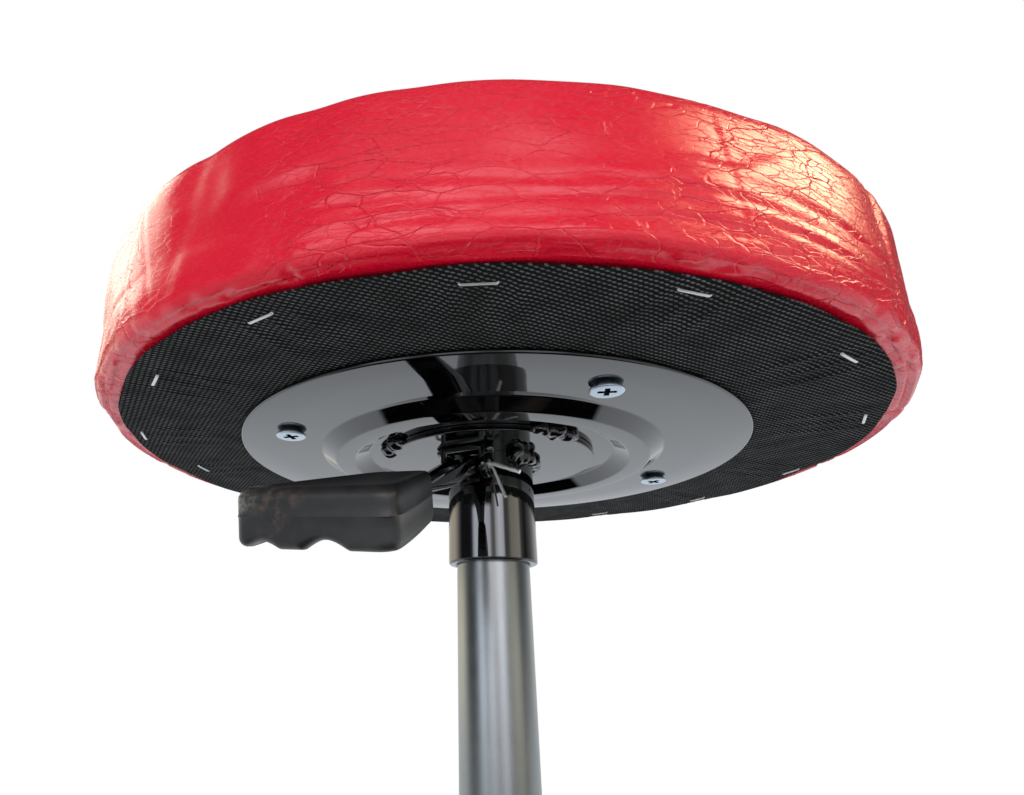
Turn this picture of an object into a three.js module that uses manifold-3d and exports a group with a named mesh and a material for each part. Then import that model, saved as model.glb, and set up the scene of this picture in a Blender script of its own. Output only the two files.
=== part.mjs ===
// A round padded stool on a gas spring, with a five-leg base and five twin-wheel casters.
// Millimetres, +Z up. The origin is on the floor, on the axis of the column.
// The lift lever points along -Y, and the stool stands at its full height.

import * as THREE from 'three';
import * as BufferGeometryUtils from 'three/addons/utils/BufferGeometryUtils.js';
import Module from 'manifold-3d';

const wasm = await Module();
wasm.setup();

// Clearances and cutting
const fitGap = 0.3;
const turningGap = 0.5;
const overrun = 2;
const arcSteps = 7;
const degree = Math.PI / 180;

// Heights of the main faces above the floor, and how far the seat travels down from there
const plateFace = 455;
const columnBottom = 62;
const baseBossBottom = 60;
const hubBottom = 66;
const hubHeight = 60;
const stroke = 120;
const lowestGap = 11.4;
const stopGap = 1.1;

// Seat pad
const seatRadius = 155;
const seatThickness = 55;
const vinylSkin = 1.2;
const flapInset = 27;
const vinylFlapRadius = seatRadius - flapInset;
const coverInset = 11.6;
const dustCoverRadius = seatRadius - coverInset;
const dustCoverThickness = 0.7;
const boardInset = 9.2;
const boardRadius = seatRadius - boardInset;
const boardThickness = 12;
const seatSides = 48;
const innerFinePoints = 4;

// Mounting plate, stamped with one raised ring, and the flat disc welded in its middle
const plateRadius = 101.3;
const plateSheet = 1.6;
const beadOuterRadius = 70;
const beadInnerRadius = 49.5;
const beadDrop = 3.8;
const beadSlope = 7;
const discRadius = 42.3;
const discSheet = 2.3;
const plateSides = 40;

// Screws that hold the plate to the board
const screwCount = 4;
const screwCircle = 83;
const firstScrewAngle = 49.4;
const screwHeadRadius = 5.5;
const screwHeadProud = 2;
const screwHeadEdge = 0.5;
const screwHeadCone = 3.7;
const screwShankRadius = 2.1;
const screwReach = 13;
const screwHoleRadius = 4.6;

// Socket welded to the plate
const socketRadius = 17.2;
const socketDepth = 43.3;
const socketStandIn = 0.8;
const socketChamfer = 0.9;
const weldLeg = 3.6;
const slotWidth = 8.6;
const slotTop = 5.6;
const slotBottom = 19;

// Lever, its bracket and its pin
const pivotReach = 22;
const pivotDrop = 10;
const leverSlope = 18.6;
const leverWidth = 12.4;
const leverSheet = 2.4;
const leverWebDrop = 4;
const flangeRise = 3.5;
const flangeSheet = 2;
const flangeBack = 3.6;
const webBack = 1;
const flangeReach = 44;
const webReach = 78;
const tongueWidth = 7;
const tongueReach = 22.5;
const earSheet = 2.5;
const earReach = 5.2;
const bracketTopSheet = 2.4;
const pinRadius = 1.5;
const pinLegLength = 12;
const pinEyeRadius = 2.6;
const pinLegTurns = [-18, -66];
const pinSides = 10;
const eyeSides = 12;

// Paddle moulded over the end of the lever
const paddleStart = 50;
const paddleEnd = 100;
const paddleNeckHalf = 10;
const paddleHalf = 24.4;
const paddleTop = 2.9;
const paddleThickness = 15.8;
const paddleEdge = 3;
const paddleLean = 5;
const paddleDish = 1.3;
const fingerDepths = [1.9, 2.6];
const fingerPlaceShares = [-0.67, 0.15];
const fingerRadius = 8.6;

// Gas spring
const tubeRadius = 14;
const tubeWall = 1.5;
const coneHeight = 24;
const coneTopRadius = 13.2;
const tubeTopDrop = 22.3;
const tubeLip = 1.5;
const tubeMouthRadius = 6;
const guideRingHeight = 12;
const pistonHeight = 12;
const pistonRise = 17;
const valveHeight = 16;
const buttonRadius = 4.4;
const buttonTravel = 4.2;
const buttonDome = 1.6;
const buttonStemRadius = 1.5;
const buttonStemLength = 16;
const rodRadius = 5;
const rodEndRadius = 4.4;
const rodTail = 4;
const rodNeckRadius = 3.7;
const clipSheet = 1.4;
const clipRadius = 9;
const tubeSides = 24;
const rodSides = 14;

// Outer column and what it holds
const columnRadius = 25;
const columnWall = 1.6;
const columnTaper = 1.4;
const columnFloor = 3;
const bushLength = 80;
const bushFlangeRadius = 26;
const bushFlangeHeight = 5;
const washerRadius = 12;
const washerSheet = 2;
const cageSheet = 1.4;
const ballRadius = 1.5;
const ballCount = 7;
const bumpStopRadius = 11;
const bumpStopHeight = 10.4;
const columnSides = 28;

// Five-leg base
const legCount = 5;
const legRadius = 220;
const hubRadius = 31;
const legRootHalf = 19;
const legTipHalf = 11.5;
const legRootTop = 116;
const legTipTop = 88;
const legWall = 3.6;
const legBossRadius = 15;
const stemHoleDepth = 24;
const ribSheet = 2.6;
const ribPlaceShares = [0.4, 0.7];
const legSides = 14;

// Casters
const wheelRadius = 25;
const wheelSides = 20;
const wheelInner = 8.4;
const wheelOuter = 24;
const treadChamfer = 2.6;
const trail = 26;
const axleRadius = 4;
const axleHalf = 20;
const hoodHalf = 8;
const fenderHalf = 25;
const fenderSheet = 2.4;
const fenderGap = 1.4;
const fenderFront = -12;
const fenderRear = 165;
const cheekRear = 200;
const cheekFront = 320;
const hoodNeckRadius = 8;
const hoodTop = 57;
const stemRadius = 5;
const stemCollarRadius = 8.4;
const stemSocketFloor = 31;
const hubDiscRadius = 12;

// Materials
const paint = (color, roughness, metalness) =>
  new THREE.MeshStandardMaterial({ color, roughness, metalness });
const vinylRed = paint(0xd2122a, 0.42, 0);
const foamYellow = paint(0xe6d9a8, 0.95, 0);
const plywood = paint(0xc79a63, 0.7, 0);
const blackFabric = paint(0x1b1c1e, 0.9, 0);
const blackEnamel = paint(0x0b0c0d, 0.12, 0.2);
const blackNylon = paint(0x202224, 0.55, 0);
const brightZinc = paint(0xb9bcbd, 0.35, 0.9);
const screwZinc = paint(0xcfd8e4, 0.3, 0.8);
const redPlastic = paint(0x9a2a22, 0.5, 0);
const greyRubber = paint(0x2b2c2d, 0.85, 0);
const palePlastic = paint(0xd9d8d2, 0.5, 0);

// Solids and booleans
function solid(geometry) {
  const bare = geometry.index ? geometry.toNonIndexed() : geometry;
  bare.deleteAttribute('normal');
  bare.deleteAttribute('uv');
  const merged = BufferGeometryUtils.mergeVertices(bare);
  const index = merged.index.array;
  const kept = [];
  for (let i = 0; i < index.length; i += 3) {
    const [a, b, c] = [index[i], index[i + 1], index[i + 2]];
    if (a !== b && b !== c && c !== a) kept.push(a, b, c);
  }
  const vertProperties = new Float32Array(merged.attributes.position.array);
  const mesh = new wasm.Mesh({ numProp: 3, vertProperties, triVerts: new Uint32Array(kept) });
  return new wasm.Manifold(mesh);
}

function toGeometry(manifold) {
  const mesh = manifold.getMesh();
  const geometry = new THREE.BufferGeometry();
  geometry.setAttribute('position', new THREE.BufferAttribute(new Float32Array(mesh.vertProperties), 3));
  geometry.setIndex(new THREE.BufferAttribute(new Uint32Array(mesh.triVerts), 1));
  geometry.computeVertexNormals();
  return geometry;
}

const join = (pieces) => pieces.reduce((whole, piece) => whole.add(piece));
const cut = (whole, pieces) => pieces.reduce((rest, piece) => rest.subtract(piece), whole);

// A profile of [radius, height] points turned about Z
function revolve(profile, sides) {
  const points = profile.map(([radius, height]) => new THREE.Vector2(radius, height));
  const geometry = new THREE.LatheGeometry(points, sides, Math.PI / sides);
  return geometry.rotateX(Math.PI / 2);
}

// A ring whose walls are given by [outer, inner, low, high]
const ring = (outer, inner, low, high, sides) =>
  solid(revolve([[inner, low], [outer, low], [outer, high], [inner, high], [inner, low]], sides));

const drum = (radius, low, high, sides) =>
  solid(revolve([[0, low], [radius, low], [radius, high], [0, high]], sides));

const block = (width, depth, height, x, y, z) =>
  solid(new THREE.BoxGeometry(width, depth, height).translate(x, y, z));

// A closed skin through rings of points, each ring with the same count
function loft(rings) {
  const count = rings[0].length;
  const positions = rings.flat().map((p) => [p.x, p.y, p.z]).flat();
  const index = [];
  for (let i = 0; i < rings.length - 1; i += 1) {
    for (let j = 0; j < count; j += 1) {
      const a = i * count + j;
      const b = i * count + ((j + 1) % count);
      index.push(a, b, b + count, a, b + count, a + count);
    }
  }
  const last = (rings.length - 1) * count;
  for (let j = 1; j < count - 1; j += 1) {
    index.push(0, j + 1, j);
    index.push(last, last + j, last + j + 1);
  }
  const geometry = new THREE.BufferGeometry();
  geometry.setAttribute('position', new THREE.Float32BufferAttribute(positions, 3));
  geometry.setIndex(index);
  return geometry;
}

// A shape drawn in the Y-Z plane and given a thickness along X
function sidePlate(shape, thickness, x = 0) {
  const options = { depth: thickness, bevelEnabled: false, curveSegments: arcSteps };
  const geometry = new THREE.ExtrudeGeometry(shape, options);
  geometry.translate(0, 0, x - thickness / 2);
  geometry.applyMatrix4(new THREE.Matrix4().makeBasis(
    new THREE.Vector3(0, 1, 0), new THREE.Vector3(0, 0, 1), new THREE.Vector3(1, 0, 0)));
  return solid(geometry);
}

const stool = new THREE.Group();

function add(name, manifold, material, parent = stool) {
  const mesh = new THREE.Mesh(toGeometry(manifold), material);
  mesh.name = name;
  parent.add(mesh);
  return mesh;
}

// Seat pad: heights of its layers, from the dust cover up
const dustCoverFace = plateFace + plateSheet + fitGap;
const vinylBottom = dustCoverFace + dustCoverThickness + fitGap;
const boardBottom = vinylBottom + vinylSkin + fitGap;
const boardTop = boardBottom + boardThickness;

// The pad's outline in shares of its radius and thickness, from the turned-in edge to the crown
const padOutlineShares = [
  [0.948, 0], [0.957, 0.02], [0.965, 0.07], [0.972, 0.14], [0.985, 0.26], [0.992, 0.4],
  [0.997, 0.58], [1, 0.71], [0.997, 0.785], [0.98, 0.85], [0.94, 0.905], [0.84, 0.95],
  [0.6, 0.984], [0.36, 0.996], [0.13, 1], [0, 1],
];

const padOutline = padOutlineShares.map(([radiusShare, heightShare]) =>
  [radiusShare * seatRadius, vinylBottom + heightShare * seatThickness]);

// The same outline moved inwards by a distance, square to each stretch
function inset(outline, distance) {
  return outline.map(([radius, height], i) => {
    const before = outline[Math.max(i - 1, 0)];
    const after = outline[Math.min(i + 1, outline.length - 1)];
    const along = new THREE.Vector2(after[0] - before[0], after[1] - before[1]).normalize();
    return [Math.max(radius - along.y * distance, 0), height + along.x * distance];
  });
}

// Inside, every third point is enough past the turned-in edge
const keptInside = (_, i) => i < innerFinePoints || i % 3 === 0;

function makeVinylCover() {
  const fine = inset(padOutline, vinylSkin);
  fine[0] = [padOutline[0][0], vinylBottom + vinylSkin];
  fine[fine.length - 1][0] = 0;
  const inner = fine.filter(keptInside);
  const profile = [[0, inner[inner.length - 1][1]]];
  for (const point of inner.slice(0, -1).reverse()) profile.push(point);
  profile.push([vinylFlapRadius, vinylBottom + vinylSkin]);
  profile.push([vinylFlapRadius, vinylBottom]);
  profile.push(...padOutline);
  return solid(revolve(profile, seatSides));
}

function makeFoam() {
  const outline = inset(padOutline, vinylSkin + fitGap).filter(keptInside);
  const floor = boardTop + fitGap;
  const above = outline.filter(([, height]) => height > floor);
  const below = outline[outline.length - above.length - 1];
  const share = (floor - below[1]) / (above[0][1] - below[1]);
  const edge = THREE.MathUtils.lerp(below[0], above[0][0], share);
  const crown = [0, above.at(-1)[1]];
  return solid(revolve([[0, floor], [edge, floor], ...above.slice(0, -1), crown], seatSides));
}

function screwCentres() {
  return Array.from({ length: screwCount }, (_, i) => {
    const angle = (firstScrewAngle + i * 360 / screwCount) * degree;
    return [screwCircle * Math.sin(angle), -screwCircle * Math.cos(angle)];
  });
}

const screwBores = (radius, low, high) =>
  screwCentres().map(([x, y]) => drum(radius, low, high, pinSides).translate(x, y, 0));

function makeDustCover() {
  const sheet = drum(dustCoverRadius, dustCoverFace, dustCoverFace + dustCoverThickness, seatSides);
  const holes = screwBores(screwShankRadius + turningGap, dustCoverFace - overrun, vinylBottom + overrun);
  return cut(sheet, holes);
}

function makeBoard() {
  const board = drum(boardRadius, boardBottom, boardTop, seatSides);
  return cut(board, screwBores(screwShankRadius + fitGap, boardBottom - overrun, boardTop + overrun));
}

function makePlate() {
  const face = [
    [socketRadius + fitGap, 0], [beadInnerRadius, 0],
    [beadInnerRadius + beadSlope * 0.55, beadDrop * 0.85],
    [beadInnerRadius + beadSlope, beadDrop], [beadOuterRadius - beadSlope, beadDrop],
    [beadOuterRadius - beadSlope * 0.55, beadDrop * 0.85], [beadOuterRadius, 0], [plateRadius, 0],
  ];
  const lower = face.map(([radius, drop]) => [radius, plateFace - drop]);
  const upper = face.map(([radius, drop]) => [radius, plateFace + plateSheet - drop]).reverse();
  const sheet = solid(revolve([...lower, ...upper, lower[0]], plateSides));
  return cut(sheet, screwBores(screwHoleRadius, plateFace - overrun, plateFace + plateSheet + overrun));
}

const discTop = plateFace - fitGap;
const discFace = discTop - discSheet;
const makeDisc = () => ring(discRadius, socketRadius + fitGap, discFace, discTop, plateSides);

function makeScrew() {
  const face = plateFace - screwHeadProud;
  const rimTop = face + screwHeadEdge;
  return solid(revolve([
    [0, face], [screwHeadRadius, face], [screwHeadRadius, rimTop],
    [screwShankRadius, rimTop + screwHeadCone], [screwShankRadius, plateFace + screwReach],
    [0, plateFace + screwReach + screwShankRadius],
  ], rodSides));
}

add('vinyl_cover', makeVinylCover(), vinylRed);
add('seat_foam', makeFoam(), foamYellow);
add('seat_board', makeBoard(), plywood);
add('dust_cover', makeDustCover(), blackFabric);
add('mounting_plate', makePlate(), blackEnamel);
add('welded_disc', makeDisc(), blackEnamel);
screwCentres().forEach(([x, y], i) => {
  add(`mounting_screw_${i + 1}`, makeScrew(), screwZinc).position.set(x, y, 0);
});

// Heights that leave room for the stroke: the bush at the column's mouth stays below the socket,
// and the pressure tube stops above the bump stop
const columnTop = plateFace - socketDepth - stroke - lowestGap - bushFlangeHeight - fitGap;
const floorTop = columnBottom + columnFloor;
const lowerWasherBottom = floorTop + fitGap;
const cageBottom = lowerWasherBottom + washerSheet + fitGap;
const upperWasherBottom = cageBottom + 2 * ballRadius + fitGap;
const rodShoulder = upperWasherBottom + washerSheet + fitGap;
const bumpStopBottom = rodShoulder + fitGap;
const tubeBottom = bumpStopBottom + bumpStopHeight + stopGap + stroke;

// Socket, tapered inside to grip the gas spring
const tubeTop = plateFace - tubeTopDrop;
const coneBottom = tubeTop - coneHeight;
const coneRadiusAt = (height) => {
  const share = THREE.MathUtils.clamp((height - coneBottom) / coneHeight, 0, 1);
  return THREE.MathUtils.lerp(tubeRadius, coneTopRadius, share);
};

function makeSocket() {
  const low = plateFace - socketDepth;
  const high = plateFace + socketStandIn;
  const weldTop = discFace - fitGap;
  const shell = solid(revolve([
    [coneRadiusAt(low) + fitGap, low], [socketRadius - socketChamfer, low],
    [socketRadius, low + socketChamfer], [socketRadius, weldTop - weldLeg],
    [socketRadius + weldLeg, weldTop], [socketRadius, weldTop], [socketRadius, high],
    [coneTopRadius + fitGap, high], [coneTopRadius + fitGap, tubeTop],
    [coneRadiusAt(low) + fitGap, low],
  ], tubeSides));
  const slotHeight = slotBottom - slotTop;
  const slotMiddle = plateFace - (slotBottom + slotTop) / 2;
  return cut(shell, [block(slotWidth, socketRadius, slotHeight, 0, -socketRadius, slotMiddle)]);
}

add('socket_tube', makeSocket(), blackEnamel);

// Bracket: a strip bent into a U, its two ears carrying the lever's pin
const earInner = leverWidth / 2 + fitGap + fitGap / 2;
const pivotHeight = plateFace - pivotDrop;

function makeBracket() {
  const top = discFace - fitGap;
  const back = -(socketRadius + fitGap);
  const front = -(pivotReach + earReach);
  const ear = new THREE.Shape();
  ear.moveTo(back, top);
  ear.lineTo(back, pivotHeight);
  ear.absarc(-pivotReach, pivotHeight, pivotReach + back, 0, -Math.PI / 2, true);
  ear.absarc(-pivotReach, pivotHeight, earReach, -Math.PI / 2, -Math.PI, true);
  ear.lineTo(front, top);
  ear.closePath();
  const ears = [-1, 1].map((side) => sidePlate(ear, earSheet, side * (earInner + earSheet / 2)));
  const width = 2 * (earInner + earSheet);
  const bridgeMiddle = (back + front) / 2;
  const bridge = block(width, back - front, bracketTopSheet, 0, bridgeMiddle, top - bracketTopSheet / 2);
  const weldReach = socketRadius + weldLeg + fitGap;
  const weldClear = ring(weldReach, socketRadius / 2, top - weldLeg - fitGap, top + overrun, tubeSides);
  const bore = drum(pinRadius + fitGap, -width, width, pinSides).rotate([0, 90, 0]);
  return cut(join([...ears, bridge]), [weldClear, bore.translate(0, -pivotReach, pivotHeight)]);
}

add('lever_bracket', makeBracket(), blackEnamel);

// The lever lies in a group at its pivot, with -Y along the lever and +Z square to it
const lever = new THREE.Group();
lever.position.set(0, -pivotReach, pivotHeight);
lever.rotation.x = leverSlope * degree;
stool.add(lever);

function makeLeverArm() {
  const webTop = -leverWebDrop + leverSheet / 2;
  const flange = new THREE.Shape();
  flange.moveTo(webBack, -leverWebDrop);
  flange.lineTo(flangeBack, -pinRadius);
  flange.lineTo(flangeBack, flangeRise - pinRadius);
  flange.lineTo(flangeBack - pinRadius, flangeRise);
  flange.lineTo(-flangeBack * 2, flangeRise);
  flange.lineTo(-flangeReach, webTop);
  flange.lineTo(-flangeReach, -leverWebDrop);
  flange.closePath();
  const side = (leverWidth - flangeSheet) / 2;
  const flanges = [-side, side].map((x) => sidePlate(flange, flangeSheet, x));
  const webMiddle = (webBack - webReach) / 2;
  const web = block(leverWidth, webReach + webBack, leverSheet, 0, webMiddle, -leverWebDrop);
  const tongue = block(tongueWidth, tongueReach, leverSheet, 0, tongueReach / 2, -leverWebDrop);
  const bore = drum(pinRadius + fitGap, -leverWidth, leverWidth, pinSides).rotate([0, 90, 0]);
  return cut(join([web, tongue, ...flanges]), [bore]);
}

// The paddle widens from its neck to a broad front edge, in shares of its length and half width
const paddlePlanShares = [
  [0, 0.32], [0.03, 0.42], [0.2, 0.55], [0.4, 0.69], [0.6, 0.82], [0.8, 0.94], [0.93, 1],
  [0.975, 0.97], [1, 0.86], [1, 0.3],
];

function paddleOutline(shrink) {
  const length = paddleEnd - paddleStart;
  const half = paddlePlanShares.map(([lengthShare, halfShare]) => [
    -(paddleStart + shrink + lengthShare * (length - 2 * shrink)),
    Math.max(halfShare * (paddleHalf - shrink), paddleNeckHalf * 0.3),
  ]);
  const right = half.map(([y, x]) => new THREE.Vector2(x, y)).reverse();
  const left = half.map(([y, x]) => new THREE.Vector2(-x, y));
  return [...right, ...left];
}

function makePaddle() {
  const bottom = paddleTop - paddleThickness;
  const bevel = paddleEdge * 0.35;
  const levels = [
    [paddleEdge, bottom], [bevel, bottom + bevel], [0, bottom + paddleEdge],
    [0, paddleTop - paddleEdge], [bevel, paddleTop - bevel], [paddleEdge, paddleTop],
  ];
  const level = ([shrink, z]) => paddleOutline(shrink).map((p) => new THREE.Vector3(p.x, p.y, z));
  const rings = levels.map(level);
  const body = solid(loft(rings));
  const fingerBar = drum(fingerRadius, -paddleEnd - overrun, -paddleStart - paddleEdge, tubeSides);
  const grooves = fingerPlaceShares.map((share, i) => fingerBar.rotate([-90, 0, 0])
    .translate(share * paddleHalf, 0, bottom + fingerDepths[i] - fingerRadius));
  const length = paddleEnd - paddleStart;
  const dishLift = 3 * length;
  const dish = drum(dishLift, -paddleNeckHalf, paddleNeckHalf, seatSides).rotate([0, 90, 0])
    .translate(0, -(paddleStart + paddleEnd) / 2, paddleTop - paddleDish + dishLift);
  const shaped = cut(body, [...grooves, dish]);
  const pocketReach = webReach - paddleStart + fitGap;
  const pocket = block(leverWidth + 2 * fitGap, pocketReach + overrun, leverSheet + 2 * fitGap,
    0, -(paddleStart - overrun + (pocketReach + overrun) / 2), -leverWebDrop);
  return cut(shaped.rotate([0, paddleLean, 0]), [pocket]);
}

add('lever_arm', makeLeverArm(), blackEnamel, lever);
add('lever_paddle', makePaddle(), blackNylon, lever);

// Split pin: an eye at one side, two legs bent apart at the other
function makeSplitPin() {
  const outside = earInner + earSheet + fitGap;
  const eyeCentre = -(outside + pinEyeRadius);
  const legs = pinLegTurns.map((turn) =>
    drum(pinRadius * 0.6, -pinRadius, pinLegLength, pinSides).rotate([0, 90, 0]).rotate([0, -turn, 0])
      .translate(outside, 0, 0));
  const shank = drum(pinRadius, eyeCentre, outside, pinSides).rotate([0, 90, 0]);
  const wire = pinRadius * 0.8;
  const eyeHole = pinEyeRadius - wire;
  const atEye = (piece) => piece.rotate([90, 0, 0]).translate(eyeCentre - pinRadius / 2, 0, 0);
  const eye = atEye(ring(pinEyeRadius, eyeHole, -wire, wire, eyeSides));
  const opened = cut(shank, [atEye(drum(eyeHole, -2 * pinRadius, 2 * pinRadius, eyeSides))]);
  return join([opened, eye, ...legs]).translate(0, -pivotReach, pivotHeight);
}

add('split_pin', makeSplitPin(), brightZinc);

// Gas spring: the pressure tube rides with the seat, the rod with the column
function makePressureTube() {
  const inner = tubeRadius - tubeWall;
  const innerTop = coneTopRadius - tubeWall;
  return solid(revolve([
    [inner, tubeBottom], [tubeRadius, tubeBottom], [tubeRadius, coneBottom], [coneTopRadius, tubeTop],
    [tubeMouthRadius, tubeTop], [tubeMouthRadius, tubeTop - tubeLip], [innerTop, tubeTop - tubeLip],
    [inner, coneBottom], [inner, tubeBottom],
  ], tubeSides));
}

const tubeBore = coneTopRadius - tubeWall - fitGap;

function makeGuideRing() {
  const low = tubeBottom + fitGap;
  return ring(tubeRadius - tubeWall - fitGap, rodRadius + fitGap, low, low + guideRingHeight, tubeSides);
}

function makePiston() {
  const low = tubeBottom + pistonRise;
  const outer = tubeRadius - tubeWall - turningGap;
  return ring(outer, rodEndRadius + fitGap, low, low + pistonHeight, tubeSides);
}

function makeValve() {
  const high = tubeTop - tubeLip - fitGap;
  return ring(tubeBore, buttonStemRadius + turningGap, high - valveHeight, high, tubeSides);
}

// The button's domed top lies just under the sloping tongue of the lever
function makeButton() {
  const shoulderRadius = buttonRadius * 0.7;
  const shoulderDrop = buttonDome * 0.4;
  const slope = Math.tan(leverSlope * degree);
  const tongueBelowPivot = (leverWebDrop + leverSheet / 2 + fitGap) / Math.cos(leverSlope * degree);
  const top = pivotHeight + (pivotReach - shoulderRadius) * slope - tongueBelowPivot + shoulderDrop;
  const headBottom = tubeTop + buttonTravel + turningGap;
  const stemBottom = headBottom - buttonStemLength;
  return solid(revolve([
    [0, stemBottom], [buttonStemRadius, stemBottom], [buttonStemRadius, headBottom],
    [buttonRadius, headBottom], [buttonRadius, top - buttonDome],
    [shoulderRadius, top - shoulderDrop], [0, top],
  ], rodSides));
}

function makeRod() {
  const pistonLow = tubeBottom + pistonRise - fitGap;
  const top = pistonLow + pistonHeight + 2 * fitGap;
  const clipTop = columnBottom - fitGap;
  return solid(revolve([
    [0, columnBottom - rodTail], [rodEndRadius, columnBottom - rodTail],
    [rodEndRadius, clipTop - clipSheet - fitGap], [rodNeckRadius, clipTop - clipSheet - fitGap],
    [rodNeckRadius, clipTop + fitGap], [rodEndRadius, clipTop + fitGap], [rodEndRadius, rodShoulder],
    [rodRadius, rodShoulder], [rodRadius, pistonLow], [rodEndRadius, pistonLow], [rodEndRadius, top],
    [0, top],
  ], rodSides));
}

function makeClip() {
  const high = columnBottom - fitGap;
  const disc = ring(clipRadius, rodNeckRadius + fitGap, high - clipSheet, high, rodSides);
  const mouthWidth = 2 * rodNeckRadius * 0.8;
  const mouth = block(mouthWidth, clipRadius, clipSheet + overrun, 0, clipRadius, high - clipSheet / 2);
  return cut(disc, [mouth]);
}

function makeBallCage() {
  const middle = cageBottom + ballRadius;
  const reach = (washerRadius + rodRadius) / 2 + fitGap;
  const balls = Array.from({ length: ballCount }, (_, i) => {
    const angle = i * 2 * Math.PI / ballCount;
    return solid(new THREE.IcosahedronGeometry(ballRadius, 0)
      .translate(reach * Math.cos(angle), reach * Math.sin(angle), middle));
  });
  const [low, high] = [middle - cageSheet / 2, middle + cageSheet / 2];
  return join([ring(washerRadius, rodEndRadius + turningGap, low, high, rodSides), ...balls]);
}

const washer = (bottom) =>
  ring(washerRadius, rodEndRadius + turningGap, bottom, bottom + washerSheet, rodSides);

const makeBumpStop = () =>
  ring(bumpStopRadius, rodRadius + fitGap, bumpStopBottom, bumpStopBottom + bumpStopHeight, rodSides);

add('pressure_tube', makePressureTube(), brightZinc);
add('tube_guide_ring', makeGuideRing(), palePlastic);
add('valve_body', makeValve(), brightZinc);
add('release_button', makeButton(), redPlastic);
add('piston', makePiston(), brightZinc);
add('piston_rod', makeRod(), brightZinc);
add('rod_clip', makeClip(), brightZinc);
add('lower_race', washer(lowerWasherBottom), brightZinc);
add('ball_cage', makeBallCage(), brightZinc);
add('upper_race', washer(upperWasherBottom), brightZinc);
add('bump_stop', makeBumpStop(), greyRubber);

// Column: a steel tube, tapered at its foot to jam in the hub
const columnRadiusAt = (height) =>
  columnRadius - columnTaper * THREE.MathUtils.clamp((hubBottom + hubHeight - height) / hubHeight, 0, 1);

function makeColumn() {
  const hubTop = hubBottom + hubHeight;
  const low = columnRadiusAt(columnBottom);
  return solid(revolve([
    [rodEndRadius + turningGap, columnBottom], [low, columnBottom], [columnRadius, hubTop],
    [columnRadius, columnTop], [columnRadius - columnWall, columnTop], [columnRadius - columnWall, hubTop],
    [low - columnWall, floorTop], [rodEndRadius + turningGap, floorTop],
    [rodEndRadius + turningGap, columnBottom],
  ], columnSides));
}

function makeBush() {
  const bore = tubeRadius + turningGap;
  const outer = columnRadius - columnWall - fitGap;
  const seat = columnTop + fitGap;
  return solid(revolve([
    [bore, columnTop - bushLength], [outer, columnTop - bushLength], [outer, seat],
    [bushFlangeRadius, seat], [bushFlangeRadius, seat + bushFlangeHeight / 2],
    [bushFlangeRadius * 0.92, seat + bushFlangeHeight],
    [bore, seat + bushFlangeHeight], [bore, columnTop - bushLength],
  ], columnSides));
}

add('outer_column', makeColumn(), blackEnamel);
add('guide_bush', makeBush(), blackNylon);

// Base: five hollow legs round a hub, ribbed underneath, moulded in one
function legSection(x, half, bottom, top) {
  const shoulder = Math.min(half, top - bottom) * 0.34;
  const side = [
    [half, bottom], [half * 0.97, top - shoulder], [half * 0.86, top - shoulder * 0.3], [half * 0.6, top],
  ];
  const otherSide = side.map(([y, z]) => [-y, z]).reverse();
  return [...side, ...otherSide].map(([y, z]) => new THREE.Vector3(x, y, z));
}

const legStationShares = [0, 0.3, 0.65, 1];

function legBody(start, end, thinner, floor) {
  const half = (share) => THREE.MathUtils.lerp(legRootHalf, legTipHalf, share) - thinner;
  const top = (share) => legTipTop + (legRootTop - legTipTop) * (1 - share) ** 1.4 - thinner;
  const rings = legStationShares.map((share) => {
    const x = THREE.MathUtils.lerp(start, end, share);
    const along = x / legRadius;
    return legSection(x, half(along), floor(along), top(along));
  });
  return solid(loft(rings));
}

function makeLeg() {
  const underside = (along) => THREE.MathUtils.lerp(hubBottom, baseBossBottom, Math.min(along, 1));
  const outside = legBody(columnRadius, legRadius, 0, underside);
  const start = hubRadius - fitGap;
  const end = legRadius - legBossRadius + overrun;
  const inside = legBody(start, end, legWall, (along) => underside(along) - overrun);
  const ribMiddle = hubBottom + legRootTop / 2;
  const spine = block(end - start, ribSheet, legRootTop, (start + end) / 2, 0, ribMiddle);
  const ribs = ribPlaceShares.map((share) =>
    block(ribSheet, 2 * legRootHalf, legRootTop, share * legRadius, 0, ribMiddle));
  const bracing = join([spine, ...ribs]).intersect(outside);
  const boss = drum(legBossRadius, baseBossBottom, legTipTop, legSides).translate(legRadius, 0, 0);
  return join([cut(outside, [inside]), bracing, boss]);
}

function makeBase() {
  const hubTop = hubBottom + hubHeight;
  const hub = drum(hubRadius, hubBottom, hubTop, columnSides);
  const leg = makeLeg();
  const turns = Array.from({ length: legCount }, (_, i) => 90 + i * 360 / legCount);
  const legs = turns.map((angle) => leg.rotate([0, 0, angle]));
  const low = columnRadiusAt(hubBottom) + fitGap;
  const slope = (columnRadius + fitGap - low) / hubHeight;
  const bore = solid(revolve([
    [0, hubBottom - overrun], [low - slope * overrun, hubBottom - overrun],
    [columnRadius + fitGap + slope * overrun, hubTop + overrun], [0, hubTop + overrun],
  ], columnSides));
  const stemHoles = turns.map((angle) =>
    drum(stemRadius + turningGap, baseBossBottom - overrun, baseBossBottom + stemHoleDepth, legSides)
      .translate(legRadius, 0, 0).rotate([0, 0, angle]));
  return cut(join([hub, ...legs]), [bore, ...stemHoles]);
}

add('star_base', makeBase(), blackNylon);

// Casters: the flats of the wheels rest on the floor
const axleHeight = wheelRadius * Math.cos(Math.PI / wheelSides);

// A profile of [radius, side] points turned about the axle, which lies along X
const onAxle = (manifold) => manifold.rotate([0, 90, 0]).translate(0, -trail, axleHeight);

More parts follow.
